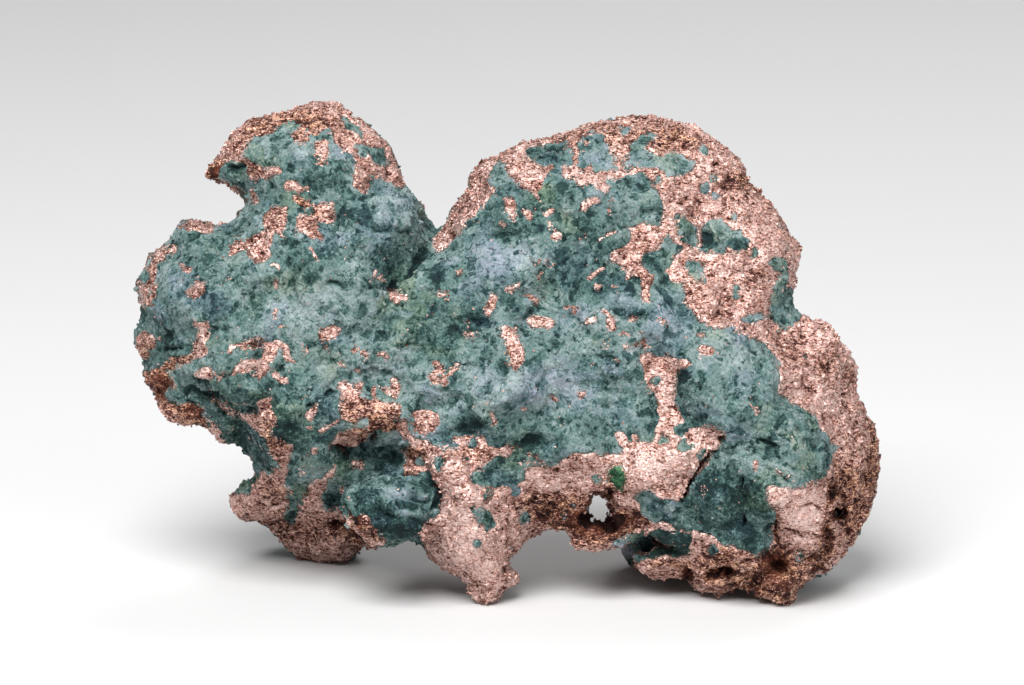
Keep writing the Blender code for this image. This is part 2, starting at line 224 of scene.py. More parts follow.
# Where copper shows on the broad face, as outlines in the leaning face's mm.
copperPatches = {
    "head crest": [
        (-17, 22.5), (-16, 22.2), (-15, 21.8), (-14.75, 22.1), (-15.25, 22.65), (-15.8, 22.95),
        (-15.5, 23.1), (-15.1, 23.8), (-14.5, 24.1), (-14.05, 24.95), (-13.2, 25.1), (-12.5, 25.5),
        (-12.2, 25.8), (-11.55, 26), (-11.3, 25.5), (-11.6, 25.1), (-11.5, 24.75), (-11, 24.9),
        (-10.7, 25.3), (-10.3, 25.2), (-9.65, 25.5), (-9.3, 25.05), (-9.1, 24.8), (-9.05, 24.3),
        (-8.4, 24.15), (-8.25, 23.6), (-8.2, 23), (-8.4, 22.4), (-7.9, 22), (-7.6, 22),
        (-7.3, 22.5), (-7.5, 23.1), (-6.9, 23.05), (-6.3, 22.7), (-5.7, 22.3), (-5.2, 22.3),
        (-5.2, 23.6), (-6, 24.2), (-6.2, 25.2), (-7.4, 26.4), (-9.5, 27.6), (-11.5, 27.4),
        (-14.2, 26.4), (-16, 24.6), (-17, 23.2),
    ],
    "head patch": [
        (-10.45, 24.9), (-10, 25.15), (-9.65, 25), (-9.65, 24.2), (-9.9, 23.8), (-10.3, 23.75),
        (-10.25, 24.1), (-10.5, 24.4),
    ],
    "neck patch": [
        (-12.7, 21.25), (-12, 21.45), (-11.9, 20.7), (-12.2, 20.05), (-12.1, 19.6), (-12.5, 20),
        (-12.65, 19.3), (-13.1, 18.3), (-13.75, 18.4), (-14.2, 19.1), (-15.05, 18.9),
        (-15.15, 19.2), (-14.6, 19.4), (-13.85, 19.7), (-13.2, 20.15), (-13.2, 20.9),
    ],
    "neck patch right": [
        (-11.4, 20.7), (-10.6, 20.9), (-10.3, 21.45), (-9.4, 21.55), (-9.4, 20.5), (-9.65, 20.3),
        (-10.3, 20.5), (-10.1, 19.5), (-10.6, 19.6), (-11.3, 19.95),
    ],
    "lower left rim": [
        (-20.2, 12.4), (-19.4, 12.55), (-18.6, 12.4), (-18.15, 12.1), (-18.05, 11.6),
        (-18.45, 11.15), (-18.3, 10.85), (-17.6, 10.65), (-16.9, 10.65), (-16.45, 10.35),
        (-16.4, 9.9), (-16.2, 9.2), (-17.6, 9.2), (-18.9, 9.9), (-19.6, 10.8),
    ],
    "left ridge": [
        (-13.45, 10.9), (-12.85, 11), (-12.75, 10.4), (-12.45, 10.05), (-12.6, 9.6), (-12.8, 9.15),
        (-12.1, 8.55), (-11.65, 8.4), (-11.75, 7.9), (-12, 7.3), (-12.15, 7), (-12.35, 7.4),
        (-12.75, 8.1), (-13.1, 8.8), (-13.6, 9.4), (-14.25, 9.9), (-13.5, 10.25),
    ],
    "left foot": [
        (-15.8, 5.6), (-15, 6), (-14.2, 5.95), (-13.7, 6), (-13.3, 6.5), (-12.7, 6.85),
        (-12.2, 7.1), (-12, 6.8), (-12.1, 6.3), (-11.8, 6.05), (-11.7, 5.6), (-12, 5.1),
        (-12.05, 4.5), (-11.8, 4.05), (-11.5, 4.4), (-11.25, 5), (-11.1, 5.5), (-10.65, 6.3),
        (-10, 6.55), (-9.6, 7.2), (-9.35, 7.35), (-9.3, 6.9), (-9.7, 6.2), (-10.1, 5.6),
        (-9.85, 5.1), (-9.2, 5), (-8.6, 4.95), (-8.3, 4.6), (-7.7, 4.6), (-7.2, 4), (-6.9, 3.5),
        (-6.5, 3.1), (-6.6, 2.4), (-8, 2.4), (-9.5, 1.2), (-12, 2.4), (-15, 4),
    ],
    "centre bench": [
        (-9, 10.4), (-8.85, 11.2), (-9.15, 11.75), (-8.8, 11.95), (-8.3, 11.4), (-7.9, 11.05),
        (-7.4, 10.9), (-7.2, 11.2), (-7, 10.85), (-6.5, 10.75), (-5.65, 10.7), (-5.65, 10.2),
        (-6, 9.95), (-5.4, 9.75), (-5, 9), (-4.3, 8.6), (-3.5, 8.1), (-3.4, 7.2), (-4.2, 7.9),
        (-5.3, 8.5), (-6, 9.2), (-6.85, 9.3), (-7.9, 8.7), (-8.65, 8.25), (-9.3, 8.3),
        (-9.35, 8.85), (-8.8, 9.05), (-8, 9.6), (-8.55, 9.8), (-9, 10),
    ],
    "bench end": [
        (-5.15, 10.3), (-4.6, 10.4), (-3.9, 10.3), (-3.8, 9.8), (-3.95, 9.2), (-4.4, 9),
        (-5.1, 9.3), (-5.2, 9.9),
    ],
    "above the tooth": [
        (-2.95, 8.8), (-2.2, 9), (-1.1, 8.9), (-1.2, 8.4), (-0.4, 8.4), (0.1, 8.5), (0.6, 8.4),
        (0.3, 8), (-0.5, 7.7), (-1.5, 7.4), (-2.6, 7.6), (-3.2, 8), (-2.4, 8.2),
    ],
    "tooth and belly": [
        (-5.6, 8.3), (-5.55, 7.3), (-5.6, 6.8), (-4.9, 6.95), (-4.2, 6.9), (-3.9, 6.5), (-3.6, 5.5),
        (-3.75, 4.7), (-4.1, 4.3), (-4.6, 3.9), (-4.7, 3), (-4.2, 1.8), (-3.2, 0.7), (-1.9, -0.9),
        (-0.6, -0.9), (0, 0.3), (1, 0.9), (0.9, 2.4), (2.3, 3.4), (3.4, 2.6), (4.2, 2), (5.4, 2.6),
        (6.6, 3.6), (9.2, 3.9), (7.9, 4.1), (7.85, 4.45), (7.15, 4.95), (6.75, 5.55), (7.05, 5.95),
        (7.7, 6.1), (8.2, 5.7), (8.6, 5.65), (9.1, 5.35), (9.4, 5.45), (9.65, 6.05), (10.05, 6.7),
        (10.7, 7.55), (11.15, 8.2), (11.5, 8.75), (11.9, 9.15), (11.4, 9.4), (10.3, 9.5),
        (9.65, 9.55), (9.4, 9.9), (8.95, 10.8), (9.05, 11.55), (8.95, 12.1), (9.2, 12.5),
        (9.75, 12.85), (9.6, 13.1), (8.7, 13.3), (8, 13.2), (7.5, 13.5), (7.15, 13.3), (7.3, 12.5),
        (7.35, 11.9), (7.7, 11.6), (8.1, 11), (8, 10.4), (8.25, 9.9), (8.1, 9.05), (7.9, 8.6),
        (7.05, 8.75), (6.6, 8.5), (6.4, 8.1), (5.9, 7.9), (5.2, 7.95), (4.6, 8.1), (4, 8.25),
        (3.5, 8.05), (2.9, 7.7), (2.6, 7.35), (1.75, 7.45), (1, 7.4), (0.4, 7.6), (-0.5, 7.8),
        (-1.4, 7.6), (-2.3, 7.8), (-3.2, 8.1), (-4.2, 8.2), (-5, 8.6),
    ],
    "right rim": [
        (14.1, 6.15), (14.8, 6.05), (15.6, 6.2), (16.55, 6.55), (17.2, 6.9), (17.35, 7.4),
        (17.6, 7.8), (17.75, 8.3), (17.3, 8.95), (16.85, 9.5), (16.55, 10.05), (16, 10.45),
        (15.25, 10.8), (14.75, 11.4), (14.7, 12.2), (14.7, 12.85), (14.4, 13.3), (14.05, 13.8),
        (13.65, 14.1), (13.1, 14.2), (12.6, 14.45), (12.1, 14.8), (12.5, 15.6), (14.2, 15.4),
        (14.6, 14.9), (15.5, 14.9), (15.7, 16.2), (16.8, 15.9), (18.8, 14.6), (19.6, 13), (20.8, 9),
        (20.9, 6.5), (19.8, 3.5), (17.5, 0.9), (15.5, -0.9), (14.2, -0.9), (13, 0.2), (10, -0.2),
        (9.6, 1), (9.6, 2.2), (10, 3.2), (10, 3.9), (11.2, 3.3), (11.8, 3), (12.65, 2.85),
        (13.1, 2.5), (13.4, 2.3), (13.6, 2.6), (14.05, 2.6), (14.35, 3), (14.4, 4), (14.45, 5.05),
        (14.2, 5.7),
    ],
    "fringe": [(6.8, 2.1), (7.6, 2.3), (9, 2.45), (9.8, 2.6), (9.8, 0.9), (8, 0.9), (6.8, 1.1)],
    "right lobe": [
        (5.4, 27), (5.3, 25), (5.6, 24.2), (6.05, 23.9), (6, 23.2), (6.3, 20.3), (6.8, 20.1),
        (6.7, 19.2), (6.2, 19.2), (5.7, 18.9), (5.6, 18.4), (6.2, 18.2), (6.3, 17.5), (7.2, 17.4),
        (7.2, 16.9), (7.35, 16.2), (7.7, 16.1), (7.75, 16.7), (8.1, 17.6), (8.6, 17.7), (9.5, 17.1),
        (9.55, 16.3), (10.05, 15.65), (10.4, 15.2), (11.05, 14.95), (11.6, 14.9), (12.1, 14.8),
        (12.6, 14.45), (13.6, 14.1), (14.1, 13.8), (15.2, 14.3), (15.6, 15.2), (16.3, 17),
        (16.6, 19.2), (15.4, 21.2), (13.9, 23), (12, 25.4), (10, 26.6), (7.5, 27),
    ],
    "lobe corner": [
        (-0.9, 23.9), (0.1, 24.4), (0.95, 24.8), (1, 24.05), (1.9, 23.5), (2.45, 23.65), (2.1, 23),
        (2.15, 22.65), (1.4, 21.95), (0.85, 22.3), (0.15, 22.75), (0, 23.3), (-0.3, 23.6),
    ],
    "lobe left rim": [
        (-2.6, 23.2), (-1.5, 23.9), (-0.95, 23.5), (-0.95, 22.45), (-0.5, 22.4), (-0.95, 21.8),
        (-1.6, 21.1), (-2.4, 20.55), (-2.8, 19.8), (-3.6, 19.2), (-3.95, 18.9), (-4, 19.6),
        (-3.6, 20.2), (-3.5, 21), (-2.7, 22), (-2.4, 22.7),
    ],
    "centre streak": [
        (-0.5, 14.9), (0, 14.85), (0.45, 14.8), (0.55, 14.25), (0.9, 13.6), (0.8, 12.85),
        (0.35, 12.55), (0, 12.95), (0.15, 13.7), (-0.1, 14.2),
    ],
}

# Rock that shows inside those patches.
rockPatches = {
    "crest stripe": [
        (-9, 26.05), (-8.6, 26.15), (-8, 25.6), (-7.7, 25.2), (-7.9, 25.1), (-8.5, 25.6),
    ],
    "crest island": [
        (-8.3, 24.8), (-7.6, 24.75), (-6.9, 24.6), (-6.5, 24), (-6.5, 23.6), (-7, 23.7),
        (-7.3, 24.05), (-7.9, 24.15),
    ],
    "foot stripe": [
        (-10.7, 6.5), (-11.1, 5.6), (-11.3, 5), (-11.55, 4.4), (-11.85, 3.95), (-12.05, 4.5),
        (-12, 5.1), (-11.7, 5.6), (-12, 6.3), (-11.4, 7),
    ],
    "lobe top island": [
        (6.7, 24.8), (7.15, 25.2), (7.7, 25.35), (8.4, 25.1), (7.6, 24.85), (7.4, 24.4),
        (8.1, 24.2), (8.9, 24.2), (9.4, 24), (10.1, 23.6), (10.1, 23.35), (9.4, 22.9), (8.7, 23),
        (8.55, 23.3), (8.1, 23.5), (7.15, 23.55), (6.7, 23.25), (6.1, 23.2), (6.3, 23.95),
        (6.65, 24.3),
    ],
    "lobe left island": [
        (5.8, 22.9), (6.7, 23.1), (7.7, 23.2), (8, 22.4), (8.35, 21.6), (8.2, 20.1), (7.7, 20.4),
        (6.8, 20.2), (5.8, 20.2),
    ],
    "lobe middle island": [
        (8.95, 21), (9.3, 21.05), (10.2, 20.4), (10.3, 19.75), (10.1, 19.25), (9.4, 19.5),
        (9.1, 20.4),
    ],
    "lobe right island": [
        (10.5, 20.3), (10.9, 20.6), (11.6, 20.7), (12.1, 20.2), (12.5, 20.2), (13.1, 19.5),
        (12.9, 19), (12.45, 18.7), (12, 19.1), (11.6, 18.7), (11, 18.65), (10.2, 19.1),
    ],
    "lobe low island": [
        (7.05, 18.45), (7.7, 18.9), (8.35, 19.5), (8.65, 19.75), (8.9, 19.3), (9.5, 19.1),
        (9, 18.55), (8.55, 18), (8.4, 17.7), (7.5, 17.75),
    ],
    "lobe oval": [
        (9.5, 18.5), (9.9, 18.6), (10.6, 18.2), (10.85, 17.7), (10.6, 17.25), (10.1, 17.2),
        (9.6, 17.7),
    ],
    "rim island": [(14, 18.4), (14.5, 18.6), (15, 18.5), (15, 17.9), (14.4, 17.9)],
    "rim strip": [
        (14.1, 16.1), (14.3, 16.7), (14.6, 17.6), (14.9, 17.6), (14.95, 16.9), (15.6, 16.8),
        (16.2, 15.9), (15.3, 14.7), (14.6, 14.5), (14.5, 15), (14.1, 15.3),
    ],
    "shoulder oval": [
        (12.8, 15.3), (13, 15.6), (13.6, 15.6), (13.95, 15.35), (13.7, 15.1), (13, 15.1),
    ],
    "tooth island": [
        (-1.95, 5), (-1.3, 5.05), (-0.9, 4.75), (-0.45, 4.35), (-0.75, 4.1), (-1.1, 3.75),
        (-1.5, 4.2), (-1.85, 4.5),
    ],
    "belly island": [
        (-1.9, 6.8), (-1.15, 7.3), (-0.5, 7.75), (0.25, 7.85), (0.9, 7.3), (0.8, 6.65), (0.25, 6.2),
        (-0.6, 6.25), (-1.5, 6.35),
    ],
    "green glass": [
        (5.4, 6.5), (5.6, 6.95), (5.95, 7.15), (6.25, 7), (6.4, 6.7), (6.2, 6.2), (6.05, 6),
        (5.85, 6.15),
    ],
    "under the block": [
        (6.5, 3.6), (8, 3.9), (9.7, 3.9), (9.8, 2.9), (9.2, 2.5), (8, 2.3), (7, 2.2), (6.2, 2.2),
        (5.4, 2.9), (6, 3.3),
    ],
}

# Small rock spots inside the copper: (radius, place).
rockSpots = [
    (0.3, (6.35, 25.45)), (0.3, (8.25, 22.8)), (0.3, (10.6, 24.4)), (0.26, (10.75, 22.3)),
    (0.22, (11.2, 22.8)), (0.2, (11.2, 22.05)), (0.2, (12.3, 20.8)), (0.12, (10.3, 20.95)),
    (0.25, (13.3, 18.9)), (0.18, (12.4, 17)), (0.2, (12.4, 16.5)), (0.35, (6.8, 17.35)),
    (0.2, (-4.75, 7.5)), (0.38, (-3.85, 7.45)), (0.24, (-2.15, 7.6)), (0.34, (-1.05, 5.7)),
    (0.2, (0.4, 5.9)), (0.34, (0.9, 4.55)), (0.18, (2.9, 4.6)), (0.15, (3.5, 5.3)),
    (0.14, (4.35, 5.05)), (0.3, (4.8, 6.7)), (0.2, (-1.9, 8.6)), (0.3, (8.45, 8.7)),
    (0.3, (9.35, 9.2)), (0.34, (9.6, 8.3)), (0.2, (10.5, 7.9)), (0.3, (11, 2.65)),
    (0.36, (15.85, 2.5)), (0.16, (16.1, 13.15)), (0.18, (8.1, 11.95)), (0.15, (-1.7, 3)),
    (0.12, (-3.2, 6)), (0.3, (-7.9, 9.75)), (0.16, (14.75, 20.2)), (0.58, (5.92, 6.55)),
    (0.52, (5.86, 6.9)),
]

# Thin copper drawn over the rock: (half width, chain of places).
copperVeins = [
    (0.17, [(-15, 23.95), (-14.2, 23.85), (-13.65, 23.5), (-13.2, 23.2), (-12.45, 23.3)]),
    (0.24, [(-13.9, 23.1), (-13.2, 23.1)]), (0.16, [(-13.8, 22.2), (-13.65, 21.6)]),
    (0.2, [(-11.9, 22.5), (-11.45, 22.5)]), (0.08, [(-11.4, 22.25), (-10.8, 22.35)]),
    (0.15, [(-11.6, 21.8), (-10.9, 21.45), (-10.5, 21.3)]),
    (0.22, [(-17.5, 20.25), (-16.8, 20.3), (-16.2, 20.1)]),
    (0.2, [(-19.75, 16.1), (-19.6, 16.9), (-19.3, 17.5), (-19.1, 18.3), (-18.6, 18.9),
        (-18, 19.05)]),
    (0.18, [(-19.3, 16.3), (-19.1, 17.1)]), (0.14, [(-17.6, 18.15), (-17.35, 17.95)]),
    (0.27, [(-17.1, 16.7), (-16.55, 17)]), (0.07, [(-15.6, 17.2), (-15.05, 17.6)]),
    (0.1, [(-12.8, 18.1), (-12.5, 18), (-12.4, 17.8)]), (0.1, [(-10.8, 17.95), (-10.6, 17.9)]),
    (0.07, [(-10.7, 19), (-10.45, 18.6), (-10.15, 18.35)]), (0.1, [(-7.25, 18), (-7.3, 17.4)]),
    (0.12, [(-6.9, 17.5), (-6.75, 17.4)]), (0.13, [(-6.25, 17), (-6.2, 16.6), (-5.95, 16.45)]),
    (0.16, [(-5.6, 16.55), (-5.4, 16.5)]), (0.5, [(-19.6, 14.1), (-19.4, 13.9)]),
    (0.18, [(-19.7, 13.7), (-19.55, 13.3)]), (0.27, [(-16.6, 15), (-16.2, 14.95)]),
    (0.2, [(-16.4, 14.7), (-16.65, 14.1), (-16.7, 13.7), (-16.4, 13.5), (-17.1, 13.25)]),
    (0.26, [(-17.2, 13.15), (-17.75, 12.9), (-18.3, 12.75)]),
    (0.26, [(-16.45, 12.3), (-16.1, 12.35)]), (0.09, [(-15.6, 15.1), (-15.3, 15.15)]),
    (0.1, [(-14.65, 15.25), (-14.55, 14.9)]), (0.13, [(-12.55, 15.7), (-12.45, 15.5)]),
    (0.14, [(-12.5, 17.2), (-12.45, 16.8)]), (0.08, [(-12.05, 14.9), (-11.95, 14.9)]),
    (0.09, [(-11.05, 15), (-10.9, 14.95)]), (0.12, [(-15.1, 13.55), (-14.7, 13.7), (-14.2, 13.85)]),
    (0.16, [(-15.4, 12.15), (-14.9, 12.25), (-14.7, 12.6), (-14.2, 12.75), (-13.65, 12.85)]),
    (0.26, [(-13.6, 12.85), (-13.1, 12.95), (-12.75, 13.3), (-12.7, 13.8)]),
    (0.13, [(-12.8, 13.9), (-13.3, 14), (-13.8, 13.95)]),
    (0.16, [(-13.1, 12.6), (-13.4, 12.3), (-13.5, 11.9)]),
    (0.15, [(-12.5, 14), (-11.95, 13.7), (-11.75, 13.2), (-11.5, 12.95)]),
    (0.13, [(-12.45, 12.3), (-12.2, 12), (-11.95, 11.85)]),
    (0.08, [(-10.95, 13.75), (-10.95, 13.4)]), (0.33, [(-9.6, 14.5), (-9.45, 14.55)]),
    (0.11, [(-9.8, 13.85), (-9.7, 13.75)]), (0.13, [(-9.1, 13.6), (-9, 13.45)]),
    (0.16, [(-8.25, 13.55), (-7.75, 13.4)]), (0.15, [(-7, 13.5), (-6.75, 13.45), (-6.3, 13.15)]),
    (0.07, [(-7.8, 16.15), (-7.75, 16.05)]), (0.09, [(-9.3, 12.75), (-8.9, 12.85), (-8.6, 12.95)]),
    (0.09, [(-8.25, 12.5), (-8.1, 12.3)]), (0.14, [(-8.2, 11.3), (-8.05, 11.7)]),
    (0.14, [(-19, 11), (-18.3, 10.7)]), (0.18, [(-15.85, 9.6), (-15.6, 9.2), (-15.45, 8.7)]),
    (0.1, [(-16, 11.1), (-15.5, 10.65), (-15.05, 10.25), (-14.6, 10.1), (-14.2, 9.9)]),
    (0.16, [(-12.2, 7.1), (-12.9, 6.8), (-13.6, 6.2)]), (0.12, [(-10.45, 10.5), (-10.65, 10)]),
    (0.09, [(-10.2, 9.3), (-9.5, 9.6), (-8.9, 9.8)]), (0.1, [(-10.85, 9.4), (-10.6, 9.4)]),
    (0.1, [(-10.6, 8.05), (-10.3, 8.05)]), (0.12, [(-8.1, 7.5), (-7.85, 7.1)]),
    (0.11, [(-11.15, 7), (-10.9, 6.9)]), (0.2, [(-10.4, 6.5), (-10, 6.3)]),
    (0.09, [(-9, 6), (-8.75, 5.7), (-8.6, 5.4)]), (0.1, [(-7.25, 11.4), (-7.3, 11)]),
    (0.16, [(-6.7, 11.45), (-6.5, 11.35)]), (0.14, [(-6.15, 11.75), (-6.1, 11.2)]),
    (0.22, [(-0.5, 16.45), (-0.85, 16.2), (-1.15, 15.65)]), (0.12, [(0, 16.85), (0.55, 17.05)]),
    (0.08, [(0.9, 16.6), (1.1, 16.55)]), (0.12, [(1.35, 16.3), (1.6, 16.2)]),
    (0.11, [(-3.6, 16.55), (-3.2, 16.45)]), (0.06, [(-2.8, 15.4), (-2.6, 15.2), (-2.25, 14.95)]),
    (0.16, [(-2, 14.4), (-1.8, 14.25)]), (0.24, [(1.4, 15.1), (1.8, 15.2), (2.2, 15)]),
    (0.13, [(-3.85, 12.95), (-3.7, 12.6), (-4.05, 12.2), (-3.85, 12), (-3.4, 11.95)]),
    (0.17, [(-2.9, 12.6), (-2.75, 12.7)]), (0.1, [(2.8, 16), (3.2, 15.95), (3.55, 15.85)]),
    (0.15, [(4.4, 15.1), (4.75, 15.3)]),
    (0.12, [(5, 15.85), (5.4, 15.65), (5.5, 15.2), (5.8, 14.8)]),
    (0.12, [(6.3, 14.55), (6.6, 14.45)]), (0.1, [(6.35, 13.85), (7.1, 13.95), (7.5, 13.9)]),
    (0.12, [(7.4, 14.5), (7.5, 14.1), (7.6, 13.9)]), (0.07, [(5.2, 13.8), (5.4, 13.7)]),
    (0.07, [(5.65, 12.95), (5.95, 13)]), (0.12, [(6.7, 15.4), (6.9, 15.4)]),
    (0.19, [(3.85, 11.1), (3.95, 11.15)]), (0.1, [(2.35, 10.95), (2.6, 10.75)]),
    (0.05, [(5.75, 10.45), (5.85, 10.4)]), (0.05, [(0.85, 10.45), (1, 10.25)]),
    (0.3, [(6, 8.95), (6.3, 8.7)]), (0.2, [(6.95, 8.95), (7.1, 8.7)]),
    (0.08, [(-0.8, 9.85), (-0.7, 9.65)]), (0.08, [(1.2, 7.95), (1.5, 7.75), (1.85, 7.6)]),
    (0.3, [(-1.9, 23.5), (-1, 23.85), (0.1, 24.35), (1.1, 24.9), (2.2, 25.1), (3.6, 25.25),
        (4.3, 25.6), (5.5, 25.9), (7, 26)]),
    (0.2, [(3.45, 25), (3.6, 24.5), (3.75, 24)]), (0.12, [(4.1, 24.95), (4.2, 24.8)]),
    (0.26, [(3.95, 22.85), (4.7, 22.95), (5.4, 23), (6.1, 23.05)]),
    (0.22, [(5, 22.5), (5.3, 22.3)]), (0.14, [(6.05, 24), (6.15, 23.3)]),
    (0.3, [(3.3, 23.3), (3.6, 23.3)]), (0.18, [(4.25, 23.45), (4.5, 23.5)]),
    (0.17, [(4, 21.2), (4.35, 21.35), (4.8, 21.65)]), (0.36, [(0.1, 21.5), (0.2, 21.35)]),
    (0.14, [(0.3, 21.1), (0.4, 20.7)]), (0.14, [(1.5, 21.95), (1.6, 21.8)]),
    (0.12, [(1.1, 21), (1.2, 20.8)]), (0.2, [(2.1, 20.85), (2.4, 21.05)]),
    (0.12, [(2.2, 20.4), (2.25, 20.1)]), (0.24, [(2.55, 19.85), (2.8, 19.85)]),
    (0.17, [(3.9, 19.6), (4.2, 19.65)]), (0.11, [(4.9, 19.45), (5.4, 19.75), (5.9, 20.05)]),
    (0.1, [(5.5, 21.6), (5.55, 21.1)]), (0.12, [(-0.4, 20.4), (-0.25, 20.3)]),
    (0.14, [(1.2, 18.55), (1.5, 18.15)]), (0.16, [(1.6, 17.45), (1.85, 17.8)]),
    (0.1, [(2.2, 18.15), (2.25, 18)]), (0.1, [(4.45, 17.4), (5.1, 17.95)]),
    (0.12, [(4.75, 17), (4.9, 17)]), (0.11, [(5.65, 17), (5.8, 16.95)]),
    (0.07, [(-2.75, 17.9), (-2.65, 17.85)]), (0.12, [(8.3, 15.2), (8.5, 15.1)]),
    (0.11, [(10.2, 14.45), (10.35, 14.4)]), (0.33, [(10.6, 13.5), (10.95, 13.45)]),
    (0.12, [(13.2, 10.5), (13.45, 10.35)]), (0.07, [(12.5, 9.55), (13.05, 9.7), (13.3, 9.25)]),
    (0.13, [(13.4, 7.5), (13.4, 7.15)]), (0.07, [(14.4, 7.1), (15.05, 6.65)]),
    (0.06, [(10.5, 6.1), (10.5, 5.7)]), (0.13, [(6.2, 14.6), (6.5, 14.55)]),
    (0.1, [(-4.9, 2.85), (-4.6, 2.75)]),
    (0.09, [(6.6, 3.95), (7.6, 4.1), (8.8, 4.05), (9.9, 3.75)]),
]

# Cracks and gaps in the relief: (half width, depth, chain of places).
cracks = {
    "shelf fold low": (0.07, 0.22, [(14.9, 4.2), (15.8, 3.8), (16.5, 3.9)]),
    "shelf fold": (0.07, 0.22, [(14.6, 5.4), (15.4, 5.2), (16.1, 5.4), (16.8, 5)]),
    "rim crevice": (0.14, 0.55, [(17.35, 5.1), (17.15, 4.7), (17.1, 4.1), (17.35, 3.6), (17.2, 3)]),
    "upper left crack": (0.1, 0.35, [(-9.6, 17.15), (-8.9, 17), (-8.2, 17.2), (-7.5, 17.05),
        (-6.4, 17)]),
    "notch crease": (0.16, 0.5, [(-4.2, 19.2), (-4.8, 18.4), (-5.3, 17.6), (-6.2, 16.9)]),
    "notch boulder foot": (0.12, 0.2, [(-8.6, 20.9), (-7.6, 20.2), (-6.4, 20.15), (-5.4, 20)]),
    "brown plate edge": (0.1, 0.3, [(-11.7, 21.6), (-11, 21.2), (-10.4, 21.1)]),
    "middle crack": (0.06, 0.2, [(-6, 13.85), (-5.6, 13.85), (-4.85, 13.95)]),
    "left ledge foot": (0.16, 0.6, [(-17.6, 10.95), (-16.7, 10.85), (-16, 10.85), (-15.4, 10.4)]),
    "bar foot": (0.14, 0.45, [(-16.8, 12), (-16.3, 11.85), (-15.9, 12.1)]),
    "bench foot": (0.16, 0.5, [(-9.3, 8.1), (-8.5, 8.05), (-7.6, 8.5), (-6.8, 9.05), (-5.9, 8.9),
        (-5.7, 8.2)]),
    "pocket crack": (0.12, 0.5, [(-10.6, 10.6), (-10.1, 10.85), (-9.8, 11.2), (-9.3, 11.45)]),
    "low left crack": (0.07, 0.3, [(-11.6, 7.6), (-11.3, 7.4), (-11, 7.5)]),
    "foot slot": (0.14, 0.6, [(-9.75, 4.15), (-9.3, 4.15), (-8.9, 4.35)]),
    "foot gap": (0.2, 0.9, [(-8.8, 5), (-8.4, 4.5), (-8.1, 3.8), (-7.6, 3.5)]),
    "foot plate edge": (0.1, 0.4, [(-14.6, 5.1), (-13.6, 4.8), (-12.6, 4.7), (-11.9, 4.2)]),
    "foot step": (0.1, 0.4, [(-11, 4), (-10.3, 3.6), (-9.4, 3.4)]),
    "boulder right edge": (0.14, 0.6, [(-5.6, 6.85), (-4.4, 6.6), (-3.8, 5.9), (-3.75, 4.9),
        (-4.2, 4.2)]),
    "block left edge": (0.07, 0.7, [(12, 9.35), (11.5, 8.8), (11.1, 8.1), (10.7, 7.45),
        (10, 6.65), (9.6, 6), (9.35, 5.5)]),
    "block crack": (0.07, 0.5, [(12.85, 6.7), (12.85, 5.4), (12.8, 4.1), (12.85, 3.5)]),
    "block pit": (0.16, 0.7, [(12.8, 4), (12.9, 3.45)]),
    "block seam": (0.07, 0.35, [(13.4, 9), (13.9, 8.6), (14.6, 8.3), (15.3, 9.2)]),
    "block low seam": (0.08, 0.3, [(14.1, 7.4), (14.6, 6.9), (15.2, 6.5)]),
    "block right edge": (0.08, 0.35, [(14.45, 6), (14.5, 5), (14.45, 4), (14.4, 3)]),
    "upper block foot": (0.07, 0.3, [(8.5, 13.4), (9.4, 13.35), (10.2, 13.9)]),
    "upper block notch": (0.25, 0.45, [(9.2, 12.3), (9.4, 12.2)]),
    "lobe pocket": (0.14, 0.3, [(1.3, 24.15), (2.2, 24.45), (2.9, 24.3)]),
    "lobe right pocket": (0.12, 0.3, [(12.2, 19.35), (12.6, 19.25)]),
    "lobe low pocket": (0.14, 0.35, [(6.45, 17.4), (7.1, 17.35)]),
    "right slit": (0.12, 0.9, [(17.45, 6.4), (17.6, 6), (17.5, 5.5), (17.35, 5.1)]),
    "strip edge": (0.08, 0.25, [(9, 10.8), (9.3, 10.1), (9.65, 9.6)]),
    "head lip": (0.14, 0.45, [(-15, 23.4), (-14.5, 23.3), (-14.2, 23.6)]),
    "rim hole": (0.14, 0.6, [(17.5, 4.8), (18.2, 4.75)]),
}

